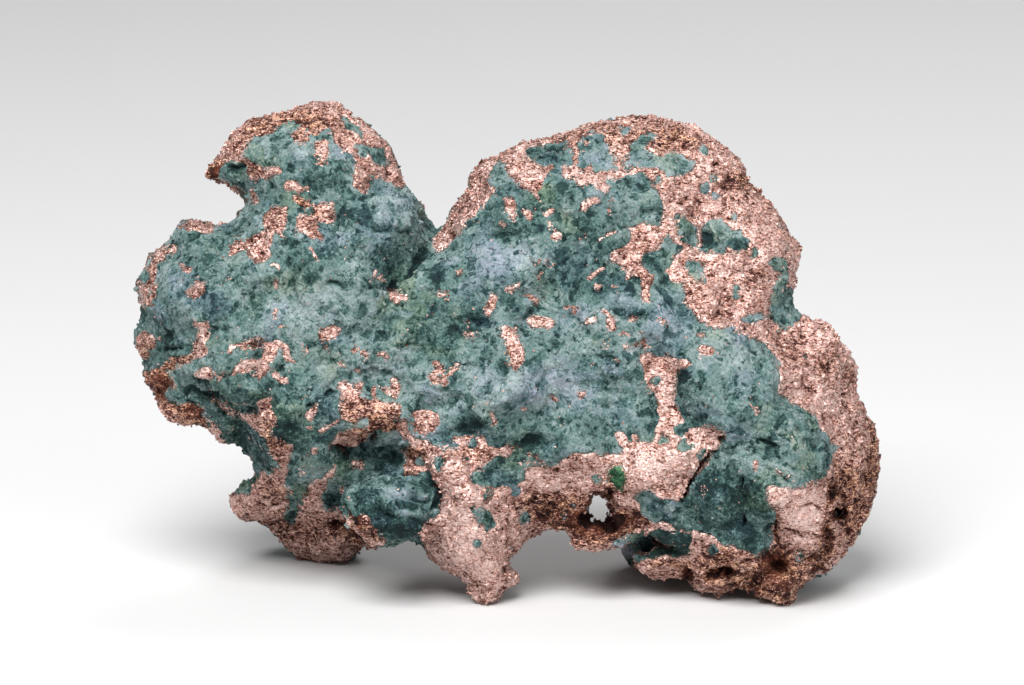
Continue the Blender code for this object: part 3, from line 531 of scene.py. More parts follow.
# Ledges (+) and hollows (-): x, h, half width, half height, turn in degrees, height in mm and
# flatness, from 0 for a mound to 1 for a flat top with a sheer edge.
ledges = {
    "lobe dent": (9.7, 21.3, 0.55, 0.5, 0, 0.3, 0.3),
    "copper shelf": (15.8, 4.7, 1.6, 2.1, 8, 0.4, 0.8),
    "shelf recess": (17.55, 5.9, 0.16, 0.5, 5, -1.2, 0.4),
    "rim hole": (17.9, 4.72, 0.45, 0.3, -10, -1, 0.5),
    "low rim hole": (16.9, 1.75, 0.5, 0.32, 30, -1.2, 0.4),
    "low rim cave": (17.3, 2.7, 0.3, 0.6, -20, -0.7, 0.3),
    "toe pit": (14.8, 1.9, 0.6, 0.42, -30, -0.4, 0.5),
    "toe pit mouth": (14.1, 2.45, 0.5, 0.26, -20, -0.5, 0.5),
    "cavity under the block": (8.7, 3.2, 1.3, 0.45, -2, 0.4, 0.4),
    "window top": (5.45, 5.8, 0.2, 0.4, 0, -1.5, 0.5),
    "window left foot": (4.2, 4.45, 0.28, 0.3, 0, -0.9, 0.5),
    "window right foot": (5.65, 4.2, 0.42, 0.42, -10, -1, 0.5),
    "window brow": (4.9, 5.6, 0.35, 0.3, 0, -0.9, 0.5),
    "fringe cave": (11.7, 1.55, 0.5, 0.35, -20, -0.9, 0.4),
    "fringe cave left": (10.9, 1.5, 0.3, 0.25, 10, -0.6, 0.3),
    "fringe gap": (9.65, 1.3, 0.26, 0.6, 8, -0.8, 0.4),
    "block": (12.6, 5.6, 1.5, 2.3, -8, 0.3, 0.85),
    "block shoulder": (14.2, 8.6, 2.8, 1.7, -25, 0.3, 0.85),
    "upper block": (11.8, 12.4, 2.7, 2, -28, 0.25, 0.8),
    "tongue": (8.1, 5.2, 0.9, 0.7, -10, 0.15, 0.7),
    "belly overhang": (8.2, 4.1, 1.8, 0.3, 5, -0.05, 0.3),
    "lobe hollow": (7.3, 22.4, 1, 0.8, 20, -0.3, 0.4),
    "lobe right hollow": (12.3, 19.4, 0.8, 0.5, -10, 0.3, 0.3),
    "lobe top hollow": (1.7, 24.2, 1.1, 0.45, -8, 0.3, 0.3),
    "crown boulder": (4, 21.8, 1.2, 0.8, 30, 0.3, 0.5),
    "crown shelf": (1, 22.9, 1.3, 0.7, -25, 0.25, 0.6),
    "notch boulder": (-6.2, 21, 1.4, 1, 15, 0.3, 0.6),
    "under the notch boulder": (-7.3, 20.1, 1.6, 0.35, 10, -0.15, 0.3),
    "head shelf": (-10.3, 23.9, 1.8, 1.2, -15, 0.25, 0.6),
    "head dent": (-7.3, 22.4, 0.6, 0.5, 0, -0.35, 0.4),
    "neck shelf": (-12.6, 20.2, 1.2, 1, -25, 0.2, 0.7),
    "left pocket": (-18, 14, 0.8, 0.5, 0, 0.3, 0.3),
    "left shelf": (-16.2, 16, 2, 0.9, 12, 0.25, 0.7),
    "left hollow": (-15.8, 14.4, 0.9, 0.5, 10, -0.35, 0.4),
    "bar ledge": (-17, 12.9, 1.4, 0.5, -15, 0.3, 0.6),
    "under the bar": (-16.6, 11.2, 1.2, 0.4, -10, -0.6, 0.4),
    "u shape": (-13.2, 13.1, 1.2, 0.6, 10, 0.2, 0.6),
    "mound below it": (-14.2, 11.2, 1, 0.7, 0, 0.3, 0.5),
    "green pocket": (-9.7, 10.8, 1, 0.8, 0, 0.7, 0.2),
    "bench": (-7.3, 10.1, 1.7, 0.7, 12, 0.3, 0.7),
    "ridge": (-13, 9.6, 0.6, 1.3, -35, 0.25, 0.6),
    "niche": (-7.3, 7.9, 1.9, 0.5, -5, -0.5, 0.4),
    "boulder ledge": (-5.4, 4.9, 1.1, 0.4, -20, 0.4, 0.7),
    "boulder step": (-6.3, 6, 1.3, 0.45, -12, 0.3, 0.75),
    "boulder fold": (-4.9, 3.9, 0.9, 0.25, -25, 0.3, 0.6),
    "boulder groove": (-6.7, 4.8, 0.9, 0.22, -30, -0.5, 0.4),
    "boulder groove right": (-4.9, 5.5, 0.8, 0.18, -20, -0.4, 0.4),
    "foot plate": (-12.9, 5.5, 1.6, 0.7, -20, 0.25, 0.7),
    "foot plate right": (-10.3, 5, 0.8, 0.9, 30, 0.25, 0.7),
    "foot slot": (-9.3, 4.2, 0.5, 0.22, 10, -0.6, 0.3),
    "foot bumps": (-7.6, 3.3, 0.7, 0.4, 10, 0.2, 0.4),
    "tooth knob": (0.2, 1.3, 0.5, 0.4, -20, 0.25, 0.4),
    "tooth face": (-2.2, 3.2, 1.4, 1.5, 10, 0.15, 0.6),
    "centre hollow": (-0.3, 12.5, 0.35, 0.7, 0, -0.35, 0.3),
    "centre hollow left": (-1.4, 15.1, 0.9, 0.4, -20, -0.25, 0.4),
    "right hollow": (6.3, 15.6, 0.9, 0.3, -20, -0.4, 0.4),
    "right low hollow": (5.6, 13, 0.7, 0.3, -15, -0.3, 0.4),
    "under the swell": (1.6, 8.7, 1.4, 0.35, -5, -0.4, 0.3),
    "under the swell left": (-2, 9.5, 1, 0.4, 5, -0.35, 0.3),
}

# Broad tones of the rock, with painted light and shade: (x, h, half width, half height,
# lighter + or darker -, bluer + or greener -). Some are the rock's own colour; many paint shade
# into holes, pockets, cracks and under ledges and overhangs, and a few paint light on lit tops
# and ledges and on a face that lies in shade.
rockTonesAndShade = {
    "rim hole": (17.9, 4.72, 0.6, 0.45, -3, 0),
    "notch boulder": (-6.2, 21.2, 1.5, 1.1, 0.55, 0.4),
    "neck": (-9.2, 19.5, 1.3, 0.7, 0.3, 0.6),
    "head": (-10.6, 23.8, 1.8, 1.2, 0.1, 0.1),
    "head pocket": (-14.7, 23.3, 0.7, 0.4, -1, -0.3),
    "crest pocket": (-7, 22.2, 0.5, 0.3, -0.7, 0),
    "left slope": (-18.1, 17.4, 0.9, 0.7, 0.4, 0.5),
    "left slope low": (-15.8, 16.3, 1.6, 0.5, 0, 0.3),
    "left pocket": (-18, 13.9, 0.9, 0.5, -0.8, 0.2),
    "left side": (-18.2, 15.2, 1.2, 0.6, -0.1, 0.1),
    "upper left light": (-10, 16.2, 3.2, 1.2, 0.6, 0),
    "left middle light": (-13.2, 15.4, 2.2, 1, 0.4, 0),
    "dark under the neck": (-7.9, 20.7, 1.2, 0.5, -0.8, 0),
    "dark under the boulder": (-6.6, 20.15, 0.6, 0.25, -0.8, 0),
    "dark crack": (-8.4, 17.15, 0.9, 0.2, -0.9, 0),
    "dark blotch": (-6.5, 18.6, 0.9, 0.6, -0.5, 0.3),
    "crease": (-6.4, 17.3, 0.5, 0.3, -0.7, 0.1),
    "purple knob": (-3.4, 18, 0.8, 0.5, -0.35, 0.7),
    "left lobe blue": (-7.3, 12.6, 1.1, 0.6, 0.5, 0.8),
    "centre dark": (-5.4, 13.9, 0.8, 0.15, -0.8, -0.4),
    "mid green": (-3, 13.6, 1.4, 0.6, -0.2, -0.5),
    "centre hollow": (-0.4, 12.5, 0.4, 0.6, -0.9, 0.3),
    "centre hollow left": (-1.5, 15, 0.8, 0.5, -0.35, 0.1),
    "grey swell": (1.5, 11.4, 3.2, 1.4, 0.75, 0.5),
    "upper grey": (-0.1, 18.7, 1.9, 1.1, 0.9, 0.5),
    "upper grey right": (4, 18.4, 1.6, 0.8, 0.3, 0.4),
    "right grey": (4.2, 15.2, 1.6, 1.2, 0.3, 0.4),
    "lobe grey": (8.6, 16, 0.9, 1.6, 0.1, 0.5),
    "lobe blue": (8.9, 14.5, 1.2, 0.7, 0.2, 0.5),
    "lobe top light": (5.4, 24, 1.1, 0.5, 0.45, 0.3),
    "lobe pocket": (1.9, 24.25, 0.9, 0.35, -0.9, -0.2),
    "lobe green": (2, 22, 0.6, 0.7, -0.1, -1.2),
    "lobe dark": (3, 21.9, 0.7, 0.4, -0.6, -0.3),
    "lobe dark right": (6.6, 22.3, 0.9, 0.6, -0.45, -0.1),
    "lobe right pocket": (12.4, 19.3, 0.5, 0.3, -1, 0),
    "lobe oval": (10.2, 17.9, 0.7, 0.7, 0.1, 0),
    "dark low lobe": (6.8, 17.35, 0.5, 0.2, -0.9, 0.1),
    "dark right of centre": (6.4, 15.6, 0.9, 0.35, -0.8, 0),
    "dark right low": (5.6, 13, 0.7, 0.35, -0.7, 0.2),
    "dark right mid": (5.5, 14.2, 0.5, 0.3, -0.5, 0.1),
    "underside": (1.5, 8.4, 1.2, 0.4, -0.8, 0),
    "underside left": (-1.9, 9.5, 1, 0.6, -0.8, 0.1),
    "underside far left": (-3.3, 8.8, 0.7, 0.4, -0.7, 0),
    "green pocket": (-9.8, 10.4, 0.9, 0.75, -0.9, 0.1),
    "left green dark": (-12.1, 9.6, 0.7, 0.6, -0.7, 0.1),
    "ledge shade": (-16.6, 11, 1.3, 0.35, -0.9, -0.2),
    "copper bar shade": (-16.4, 11.8, 0.6, 0.25, -1, -0.4),
    "niche": (-8.8, 7.6, 1.3, 0.35, -0.9, -0.2),
    "niche right": (-6.2, 7.7, 0.5, 0.2, -0.8, 0.4),
    "under the niche": (-9.3, 5.5, 0.9, 0.5, -0.9, -0.4),
    "boulder": (-6.2, 5, 2.4, 2.1, -1.05, 0),
    "boulder top": (-5.9, 5.75, 1.4, 0.45, 1.1, 0.4),
    "boulder ledge": (-5.4, 4.75, 0.6, 0.3, 1.3, 0.3),
    "boulder left": (-7.3, 4.9, 0.6, 0.9, -1, 0),
    "boulder foot": (-5.6, 3.9, 1.6, 0.45, -0.9, 0),
    "boulder right": (-4.3, 6.4, 0.6, 0.5, -0.5, -0.1),
    "upper block": (12.3, 12.9, 2.4, 1.6, 0.45, 0.7),
    "upper block dark": (9.6, 12.1, 0.7, 0.5, -0.8, 0),
    "upper block low": (10.6, 10.4, 1.2, 0.6, 0.25, 0.4),
    "block top": (12.6, 8.8, 1, 0.7, 0.35, 0.6),
    "block low": (12.3, 4.9, 2.2, 2.1, -0.85, -0.2),
    "block middle": (11, 6.1, 0.9, 0.8, -0.5, 0),
    "block left tongue": (8.4, 5.1, 0.9, 0.7, 0.3, 0.6),
    "green glass": (5.95, 6.6, 0.6, 0.7, -0.6, -4.5),
    "green glass left": (4.8, 6.7, 0.3, 0.3, -0.7, -1.2),
    "neck hollow": (-11.9, 18.6, 1.2, 0.5, -0.3, 0),
    "foot stripe": (-11.7, 4.7, 0.3, 0.7, -0.7, 0),
    "under the block": (8.5, 2.9, 1.9, 0.9, -2.2, -0.3),
    "low left": (-13.5, 9, 3.4, 3.4, -0.7, -0.2),
    "below the swell": (-1, 7.8, 3, 1.2, -0.7, -0.2),
    "upper left": (-15.6, 17.4, 3, 2.4, -0.1, 0),
    "lobe left": (1.6, 20.4, 3, 1.8, -0.35, -0.3),
    "lobe middle": (6, 18, 2.4, 2, -0.3, 0),
    "pale face": (6.3, 2.7, 0.8, 0.5, 2.6, 2.2),
    "rim strip": (14.8, 16.2, 0.5, 0.8, -0.3, -0.1),
    "rim slit": (16.1, 13.15, 0.3, 0.15, -1.2, -0.6),
}

# Brown tarnish of the copper together with painted shade: (x, h, half width, half height,
# strength).
# The strongest paint shade into holes, gaps and pockets and under overhangs, some darken lit crests
# and tops, and the negative ones make the copper lighter.
tarnishAndShadeTones = {
    "foot gap": (-8.2, 4.4, 0.2, 0.55, 2.2),
    "foot slot": (-9.2, 4.2, 0.5, 0.14, 2.4),
    "toe low": (13, 1.2, 3.4, 1.4, 0.4),
    "bridge low": (5, 4.2, 2.6, 1.4, 0.5),
    "fringe cave left": (11.1, 1.4, 0.35, 0.18, 2.8),
    "fringe cave": (11.75, 1.65, 0.5, 0.24, 3),
    "fringe gap": (9.65, 1.3, 0.24, 0.6, 2.8),
    "window top pocket": (5.52, 6, 0.2, 0.3, 3.2),
    "window side pocket": (6.15, 4.5, 0.22, 0.3, 2.4),
    "window right pocket": (5.65, 4.2, 0.42, 0.44, 3.2),
    "window left pocket": (4.18, 4.47, 0.32, 0.34, 3.2),
    "crown": (7.5, 25.2, 4, 1.2, 0.35),
    "crest rim": (13.6, 22.6, 2.2, 2.6, 0.4),
    "left rim": (-18.6, 12.4, 1.8, 2.2, 0.7),
    "hook": (-16.2, 23.6, 1.4, 1, 0.75),
    "neck": (-12.2, 20, 3.6, 1.6, 0.45),
    "head crest": (-12, 25.6, 4, 1.4, 0.8),
    "rim bay": (16.3, 2.45, 0.5, 0.2, 2.2),
    "rim crevice": (17.2, 4.1, 0.2, 1, 1.2),
    "hook underside": (-15.2, 23.15, 1, 0.45, 1.8),
    "head lip": (-13.9, 23.4, 0.9, 0.5, 0.7),
    "head lip low": (-14.9, 22.7, 0.5, 0.4, 0.8),
    "brown plate": (-11.1, 21.5, 0.7, 0.3, 0.8),
    "crest specks": (-12.6, 24.9, 0.9, 0.4, 0.5),
    "nodule cave": (-16.5, 10.2, 1.3, 0.8, 1.5),
    "lower left rim": (-18.6, 11.6, 1.5, 1.3, 1.1),
    "left knob": (-19.5, 13.8, 0.7, 0.7, 0.5),
    "left edge": (-19.2, 17.5, 0.9, 1.8, 0.5),
    "left foot top": (-12.7, 6, 1.2, 0.6, 0.8),
    "left foot": (-11.6, 3.9, 2.6, 1, 0.6),
    "foot right": (-7.9, 4, 1.2, 0.9, 1.1),
    "ridge": (-12.6, 8.8, 1, 1.9, 0.9),
    "bench": (-7.6, 10, 1.9, 1.1, 0.95),
    "u shape": (-13.4, 13, 1.8, 0.9, 0.4),
    "low left": (-11, 4, 5, 2.4, 0.1),
    "low right": (14, 1.4, 6, 1.6, 0.5),
    "bench foot": (-5.3, 8.1, 0.9, 0.4, 0.8),
    "bench low": (-6.9, 9.3, 1.2, 0.3, 0.5),
    "above the tooth": (-1.2, 8.1, 1.5, 0.5, 0.4),
    "belly": (2.4, 5.2, 2.6, 0.9, 0.8),
    "bridge": (4.8, 4, 1.7, 0.9, 1.2),
    "window foot": (5.2, 4.4, 1.2, 0.35, 1),
    "right of the window": (7, 4.5, 0.8, 0.5, 1.1),
    "belly line": (8.3, 6.2, 0.6, 0.2, 0.8),
    "lobe top": (8.8, 24.9, 1.6, 0.7, 0.6),
    "lobe rim": (12.6, 22.7, 0.7, 0.4, 0.4),
    "lobe low": (13.7, 17.7, 0.5, 0.3, 0.9),
    "shoulder": (15.2, 13.4, 0.9, 0.9, 0.6),
    "shoulder rim": (17.4, 12.4, 0.9, 0.9, 0.5),
    "right rim": (18.7, 12, 0.6, 0.7, 0.7),
    "right rim low": (18.6, 5.2, 1, 2.6, 0.95),
    "rim low": (17.2, 3.2, 0.5, 1, 1.3),
    "shelf": (17.8, 6.4, 1.2, 0.7, 0.4),
    "toe pit": (14.5, 2.1, 0.9, 0.7, 1.6),
    "toe": (14.6, 0.6, 2.6, 0.8, 0.7),
    "rim slit": (17.5, 5.9, 0.22, 0.5, 3.2),
    "rim flank": (19.7, 7.4, 0.4, 2.8, 1),
    "rim hole": (17.9, 4.72, 0.45, 0.3, 3.4),
    "low rim hole": (16.9, 1.75, 0.6, 0.4, 1.3),
    "under the block": (11.6, 2.5, 0.9, 0.5, 0.8),
    "tooth bright": (-2.2, 3.4, 1.6, 2.4, -0.7),
    "belly bright": (2.6, 6.6, 2.4, 0.6, -0.5),
    "belly line bright": (7.6, 7.4, 2.2, 0.9, -0.6),
    "strip bright": (8.4, 11.4, 0.9, 1.7, -0.5),
    "shelf bright": (15.9, 4.8, 1.2, 1.5, -0.9),
    "shoulder bright": (17.2, 10.6, 1.2, 2.2, -0.5),
    "lobe side bright": (13.6, 20.6, 1, 1.4, -0.3),
    "fringe": (8.3, 2.1, 1.4, 0.3, 0.9),
    "block edge": (14.5, 4, 0.25, 1.4, 0.6),
}

crackLook = {
    "bend": (0.8, 0.2),  # grain and push of what bends them, mm
    "gaps": (0.9, -0.35, 0.3),  # grain of what breaks them up, and where it fades in
    "wall": (0.3, 2.2),  # half widths at which a crack's wall ends and starts
    "reach": 1.5,
}
ledgeLook = {"bend": (1.1, 0.22), "foot": 1.25}  # the foot in half widths


# how deep the drawn cracks cut here: depth times an S curve across the half width;
# noise bends them and breaks them up along their length
def crackDepth(points, places):
    ragged = bent(points, places, *crackLook["bend"], seeds["cracks"])
    grain, low, high = crackLook["gaps"]
    broken = sCurve(low, high, clouds(points, grain, seeds["crackGaps"], octaves=2))
    floorEnd, wallEnd = crackLook["wall"]
    cut = np.zeros(len(places))
    for half, deep, chain in cracks.values():
        at = nearby(ragged, chain, crackLook["reach"])
        gap = chainDistance(ragged[at], chain)
        wall = 1.0 - sCurve(floorEnd * half, wallEnd * half, gap)
        cut[at] = np.maximum(cut[at], deep * wall)
    return cut * broken


# the summed height of ledges and hollows: each an oval with a flat top and an S-shaped edge
def ledgeHeight(points, places):
    ragged = bent(points, places, *ledgeLook["bend"], seeds["ledges"])
    height = np.zeros(len(places))
    for x, h, halfX, halfH, turn, rise, flat in ledges.values():
        sin, cos = math.sin(math.radians(turn)), math.cos(math.radians(turn))
        offX, offH = (ragged - (x, h)).T
        radius = np.hypot((offX * cos + offH * sin) / halfX, (offH * cos - offX * sin) / halfH)
        height += rise * (1.0 - sCurve(flat, ledgeLook["foot"], radius))
    return height


# a sum of soft ovals: each adds its strength times exp(-(distance in half widths)^3)
def toneSum(places, tones, column):
    total = np.zeros(len(places))
    for tone in tones.values():
        off = (places - tone[:2]) / tone[2:4]
        total += tone[column] * np.exp(-((off**2).sum(axis=1)) ** 1.5)
    return total


# one measure of a mesh's vertices or edges as rows of an array
def meshRows(items, measure, width, kind=np.float32):
    rows = np.empty(len(items) * width, kind)
    items.foreach_get(measure, rows)
    return rows.reshape(-1, width)


def meshPoints(mesh):
    return meshRows(mesh.vertices, "co", 3).astype(float)


def meshNormals(mesh):
    return meshRows(mesh.vertices, "normal", 3).astype(float)


def meshEdges(mesh):
    return meshRows(mesh.edges, "vertices", 2, np.int32)


def setPoints(mesh, points):
    mesh.vertices.foreach_set("co", points.astype(np.float32).ravel())
    mesh.update()


# a new object in the scene, with the given mesh, light or camera
def placed(name, data):
    obj = bpy.data.objects.new(name, data)
    bpy.context.scene.collection.objects.link(obj)
    return obj


# a new mesh: an object's own with its modifiers worked in
def finished(obj):
    graph = bpy.context.evaluated_depsgraph_get()
    return bpy.data.meshes.new_from_object(obj.evaluated_get(graph))


# each pass moves every vertex towards the mean of its neighbours
def softened(points, edges, passes, share):
    counts = np.bincount(edges.ravel(), minlength=len(points))[:, None]
    for _ in range(passes):
        total = np.empty_like(points)
        for axis in range(points.shape[1]):
            along = np.bincount(edges[:, 0], points[edges[:, 1], axis], len(points))
            along += np.bincount(edges[:, 1], points[edges[:, 0], axis], len(points))
            total[:, axis] = along
        points = points + share * (total / counts - points)
    return points


skin = {
    "voxel": 0.13,  # mm between the vertices of the fine skins
    "merge": 1e-7,  # m, closer corners of the solid are one
    "passes": 12, "share": 0.6,  # of softening, so the solid's flat faces disappear
    "hollowPasses": 10,  # of softening that hollows are measured against
    "triangles": 190000,  # left in each skin once the hidden parts are thinned
    "spike": 0.045,  # mm that a vertex may stand out from its neighbours
    "front": (-0.15, 0.25),  # how far a face turns to the eye as the back becomes the front
}


# 1 on the broad front, 0 on the back, from the way each point faces
def frontShare(normals):
    toEye = normals @ np.array([0.0, -leanCos, leanSin])
    return sCurve(*skin["front"], toEye)


# one even skin over the nugget's solid, in mm, remeshed and softened
def fineSkin():
    work = bmesh.new()
    work.from_mesh(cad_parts["copper_nugget"].data)
    bmesh.ops.remove_doubles(work, verts=work.verts, dist=skin["merge"])
    bmesh.ops.scale(work, verts=work.verts, vec=(1 / mm,) * 3)
    mesh = bpy.data.meshes.new("skinWork")
    work.to_mesh(mesh)
    work.free()
    obj = placed("skinWork", mesh)
    remesh = obj.modifiers.new("evenSkin", "REMESH")
    remesh.mode = "VOXEL"
    remesh.voxel_size = skin["voxel"]
    fine = finished(obj)
    bpy.data.objects.remove(obj)
    setPoints(fine, softened(meshPoints(fine), meshEdges(fine), skin["passes"], skin["share"]))
    return fine


base = fineSkin()
basePoints = meshPoints(base)
baseNormals = meshNormals(base)
seen = asSeen(basePoints)
faceShare = frontShare(baseNormals)
print("fine skin:", len(basePoints), "vertices")

layout = {
    "warp": ((0.9, 0.16), (0.38, 0.09)),  # ragged edges: grain and push, mm
    "fray": ((0.5, 0.1), (0.26, 0.08)),  # bits and gaps along the edges
    "backGrain": 5.5,  # size of the copper patches on the back
    "backRough": 0.66,  # more gives them rougher edges
    "backLevel": 0.05,  # more gives less copper there
    "backSlope": 1.6,  # mm of depth for a step of the noise
}


# + mm inside copper and - mm inside rock: drawn on the front, scattered on the back
def copperDepth(points, places, share):
    ragged = places
    for number, (grain, push) in enumerate(layout["warp"]):
        pair = [seed + number for seed in seeds["warp"]]
        ragged = bent(points, ragged, grain, push, pair, octaves=1)
    depth = drawnDepth(ragged, copperPatches, [])
    islands = drawnDepth(ragged, rockPatches, [(radius, [at, at]) for radius, at in rockSpots])
    depth = np.minimum(depth, -islands)
    depth = np.maximum(depth, drawnDepth(ragged, {}, copperVeins))
    behind = clouds(points, layout["backGrain"], seeds["behind"], 5, layout["backRough"])
    behind = layout["backSlope"] * (behind - layout["backLevel"])
    depth = share * depth + (1.0 - share) * behind
    for number, (grain, push) in enumerate(layout["fray"]):
        depth += push * cloud(points, grain, seeds["fray"] + number)
    return depth


depth = copperDepth(basePoints, seen, faceShare)
cut = crackDepth(basePoints, seen) * faceShare
print("copper laid out:", round(float((depth > 0).mean()), 3), "of the skin")

rockRelief = {
    "shards": ((2.1, 0.17), (1.0, 0.1), (0.5, 0.05)),  # size and height, mm
    "seamed": 2,  # sizes of shards that have cracks between them
    "seamWidth": 0.12, "seamDepth": 0.08, "seamFade": (-0.3, 0.3),
    "grain": (0.32, 0.04), "grainShare": 0.7,
    "pits": (0.9, 0.2, 0.2),  # spacing, radius and depth
    "pitJitter": 0.3, "pitSpread": 0.5, "pitWall": 0.3, "pitLevel": 0.2,
}
copperRelief = {
    "lumps": (1.3, 0.19),
    "shards": ((0.95, 0.22), (0.42, 0.11)),
    "grain": (0.22, 0.05),
    "rough": (0.6, 0.3, 0.52, 1.25),  # share of all this, more with the tarnish and painted shade, least and most
}


# 1 in the middle of scattered round pits, 0 outside them; some of the places have none
def pitShare(points, spacing, radius, seed):
    place = points / spacing + seed * scatter["cellShift"]
    home = np.floor(place).astype(np.int64)
    share = np.zeros(len(points))
    near = (home + step - (place - home < 0.5) for step in np.ndindex(2, 2, 2))
    for cell, _, gap in cellsAround(place, near, seed, rockRelief["pitJitter"]):
        wide = radius * (1.0 + rockRelief["pitSpread"] * scatterValue(cell, seed + 4))
        here = scatterValue(cell, seed + 5) > rockRelief["pitLevel"]
        wall = sCurve(rockRelief["pitWall"] * wide, wide, gap * spacing)
        share = np.maximum(share, here * (1.0 - wall))
    return share


# heights over the base skin, mm: broken faces with cracks between some, pits and fine grain
def rockHeight(points):
    grain, rise = rockRelief["grain"]
    height = rise * clouds(points, grain, seeds["rockGrain"], 2, rockRelief["grainShare"])
    for number, (size, rise) in enumerate(rockRelief["shards"]):
        face, seam, own = shards(points, size, seeds["rockShards"] + seeds["shardStep"] * number)
        height += rise * face
        if number < rockRelief["seamed"]:
            split = 1.0 - sCurve(0.0, rockRelief["seamWidth"], seam)
            height -= rockRelief["seamDepth"] * split * sCurve(*rockRelief["seamFade"], own)
    spacing, radius, deep = rockRelief["pits"]
    return height - deep * pitShare(points, spacing, radius, seeds["pits"])


# heights over the base skin, mm: lumps covered with small sharp crystal faces, rougher where
# the tarnish and painted shade table is strong and smoother where its strength is negative
def copperHeight(points, places):
    size, rise = copperRelief["lumps"]
    height = rise * clouds(points, size, seeds["lumps"], octaves=2)
    for number, (size, rise) in enumerate(copperRelief["shards"]):
        seed = seeds["copperShards"] + seeds["shardStep"] * number
        height += rise * shards(points, size, seed)[0]
    grain, rise = copperRelief["grain"]
    height += rise * cloud(points, grain, seeds["copperGrain"])
    usual, step, least, most = copperRelief["rough"]
    return height * np.clip(usual + step * toneSum(places, tarnishAndShadeTones, 4), least, most)


layers = {
    "edge": 0.22,  # mm over which a skin dives once it is past the meeting line
    "sink": 0.45,  # how far it dives below the other
    "share": 0.4,  # of the rock's relief that the copper follows too
}


# the two skins share one base: flush where they meet, and each dives smoothly under the other
def skinHeights():
    copperShow = sCurve(-layers["edge"], 0.0, depth)
    rockShow = 1.0 - sCurve(0.0, layers["edge"], depth)
    rock = rockHeight(basePoints)
    copper = copperHeight(basePoints, seen) + layers["share"] * rock
    deep = layers["sink"]
    return copper * copperShow - (1 - copperShow) * deep, rock * rockShow - (1 - rockShow) * deep


# heights with the needles cut down: no vertex stands far from the mean of its neighbours
def blunted(height):
    mean = softened(height[:, None], meshEdges(base), 1, 1.0)[:, 0]
    return mean + np.clip(height - mean, -skin["spike"], skin["spike"])


# keeps every point over the floor and inside the solid's own box
def kept(points):
    low, high = (np.array(corner) / mm for corner in cadBox)
    return np.clip(points, low, high)


# the base skin pushed out by the heights, then thinned: the smooth hidden parts go first
def skinObject(name, height):
    work = base.copy()
    setPoints(work, kept(basePoints + height[:, None] * baseNormals))
    obj = placed(name, work)
    thin = obj.modifiers.new("thin", "DECIMATE")
    work.calc_loop_triangles()
    thin.ratio = min(1.0, skin["triangles"] / len(work.loop_triangles))
    mesh = finished(obj)
    mesh.name = name
    obj.modifiers.clear()
    obj.data = mesh
    bpy.data.meshes.remove(work)
    return obj


# keeps one value for each point of a piece, under a name that its material reads
def paint(obj, name, values):
    layer = obj.data.attributes.new(name, "FLOAT", "POINT")
    layer.data.foreach_set("value", np.asarray(values, np.float32))


# paints a skin's hollows, its depth inside the copper and its tones with their painted light and
# shade, then turns it to metres
def toned(obj, tones):
    points = meshPoints(obj.data)
    normals = meshNormals(obj.data)
    places = asSeen(points)
    share = frontShare(normals)
    edges = meshEdges(obj.data)
    hollow = softened(points, edges, skin["hollowPasses"], skin["share"]) - points
    paint(obj, "hollow", (hollow * normals).sum(axis=1))
    paint(obj, "depth", copperDepth(points, places, share))
    # cracks add painted shade: more tarnish on the copper, darker rock
    split = np.clip(crackDepth(points, places) * share, 0, toneLook["crackMost"])
    for name, (table, column, grain, drift, cracked) in tones.items():
        value = toneSum(places, table, column) * share + cracked * split
        paint(obj, name, value + drift * clouds(points, grain, seeds["tones"]))
    setPoints(obj.data, points * mm)
    obj.data.shade_smooth()


# For each tone: its table and column, the grain and strength of its drift, and what a crack adds,
# which is painted shade in the cracks.
toneLook = {
    # brown: the copper's tarnish together with its painted shade
    "copper": {"brown": (tarnishAndShadeTones, 4, 2.4, 0.35, 1.6)},
    # light: the rock's own lighter and darker tones together with painted light and shade
    "rock": {"light": (rockTonesAndShade, 4, 3.0, 0.25, -1.4), "hue": (rockTonesAndShade, 5, 2.2, 0.7, 0.0)},
    "crackMost": 0.6,  # mm of crack that still adds to a tone
}
copperHeights, rockHeights = skinHeights()
carved = ledgeHeight(basePoints, seen) * faceShare - cut
copper = skinObject("native_copper", blunted(copperHeights) + carved)
rock = skinObject("green_rock", blunted(rockHeights) + carved)
print("skins shaped:", len(copper.data.polygons), "and", len(rock.data.polygons), "faces")
toned(copper, toneLook["copper"])
toned(rock, toneLook["rock"])
print("tones painted")

copperGrains = {"count": 12000, "size": (0.04, 0.12), "flat": 0.5, "lift": 0.1, "seed": 3}
rockGrains = {"count": 6000, "size": (0.05, 0.15), "flat": 0.6, "lift": 0.0, "seed": 4}
block = {
    "jitter": 0.45,  # of each corner, in half sides
    "narrow": 0.7,  # the least share of the width that a block is deep
    "sides": ((0, 1, 3, 2), (4, 6, 7, 5), (0, 4, 5, 1), (2, 3, 7, 6), (0, 2, 6, 4), (1, 5, 7, 3)),
    "edge": 0.05,  # mm from the meeting line that the blocks stay away
}


# what paint() has kept for each point of a piece
def painted(obj, name):
    return meshRows(obj.data.attributes[name].data, "value", 1)[:, 0]


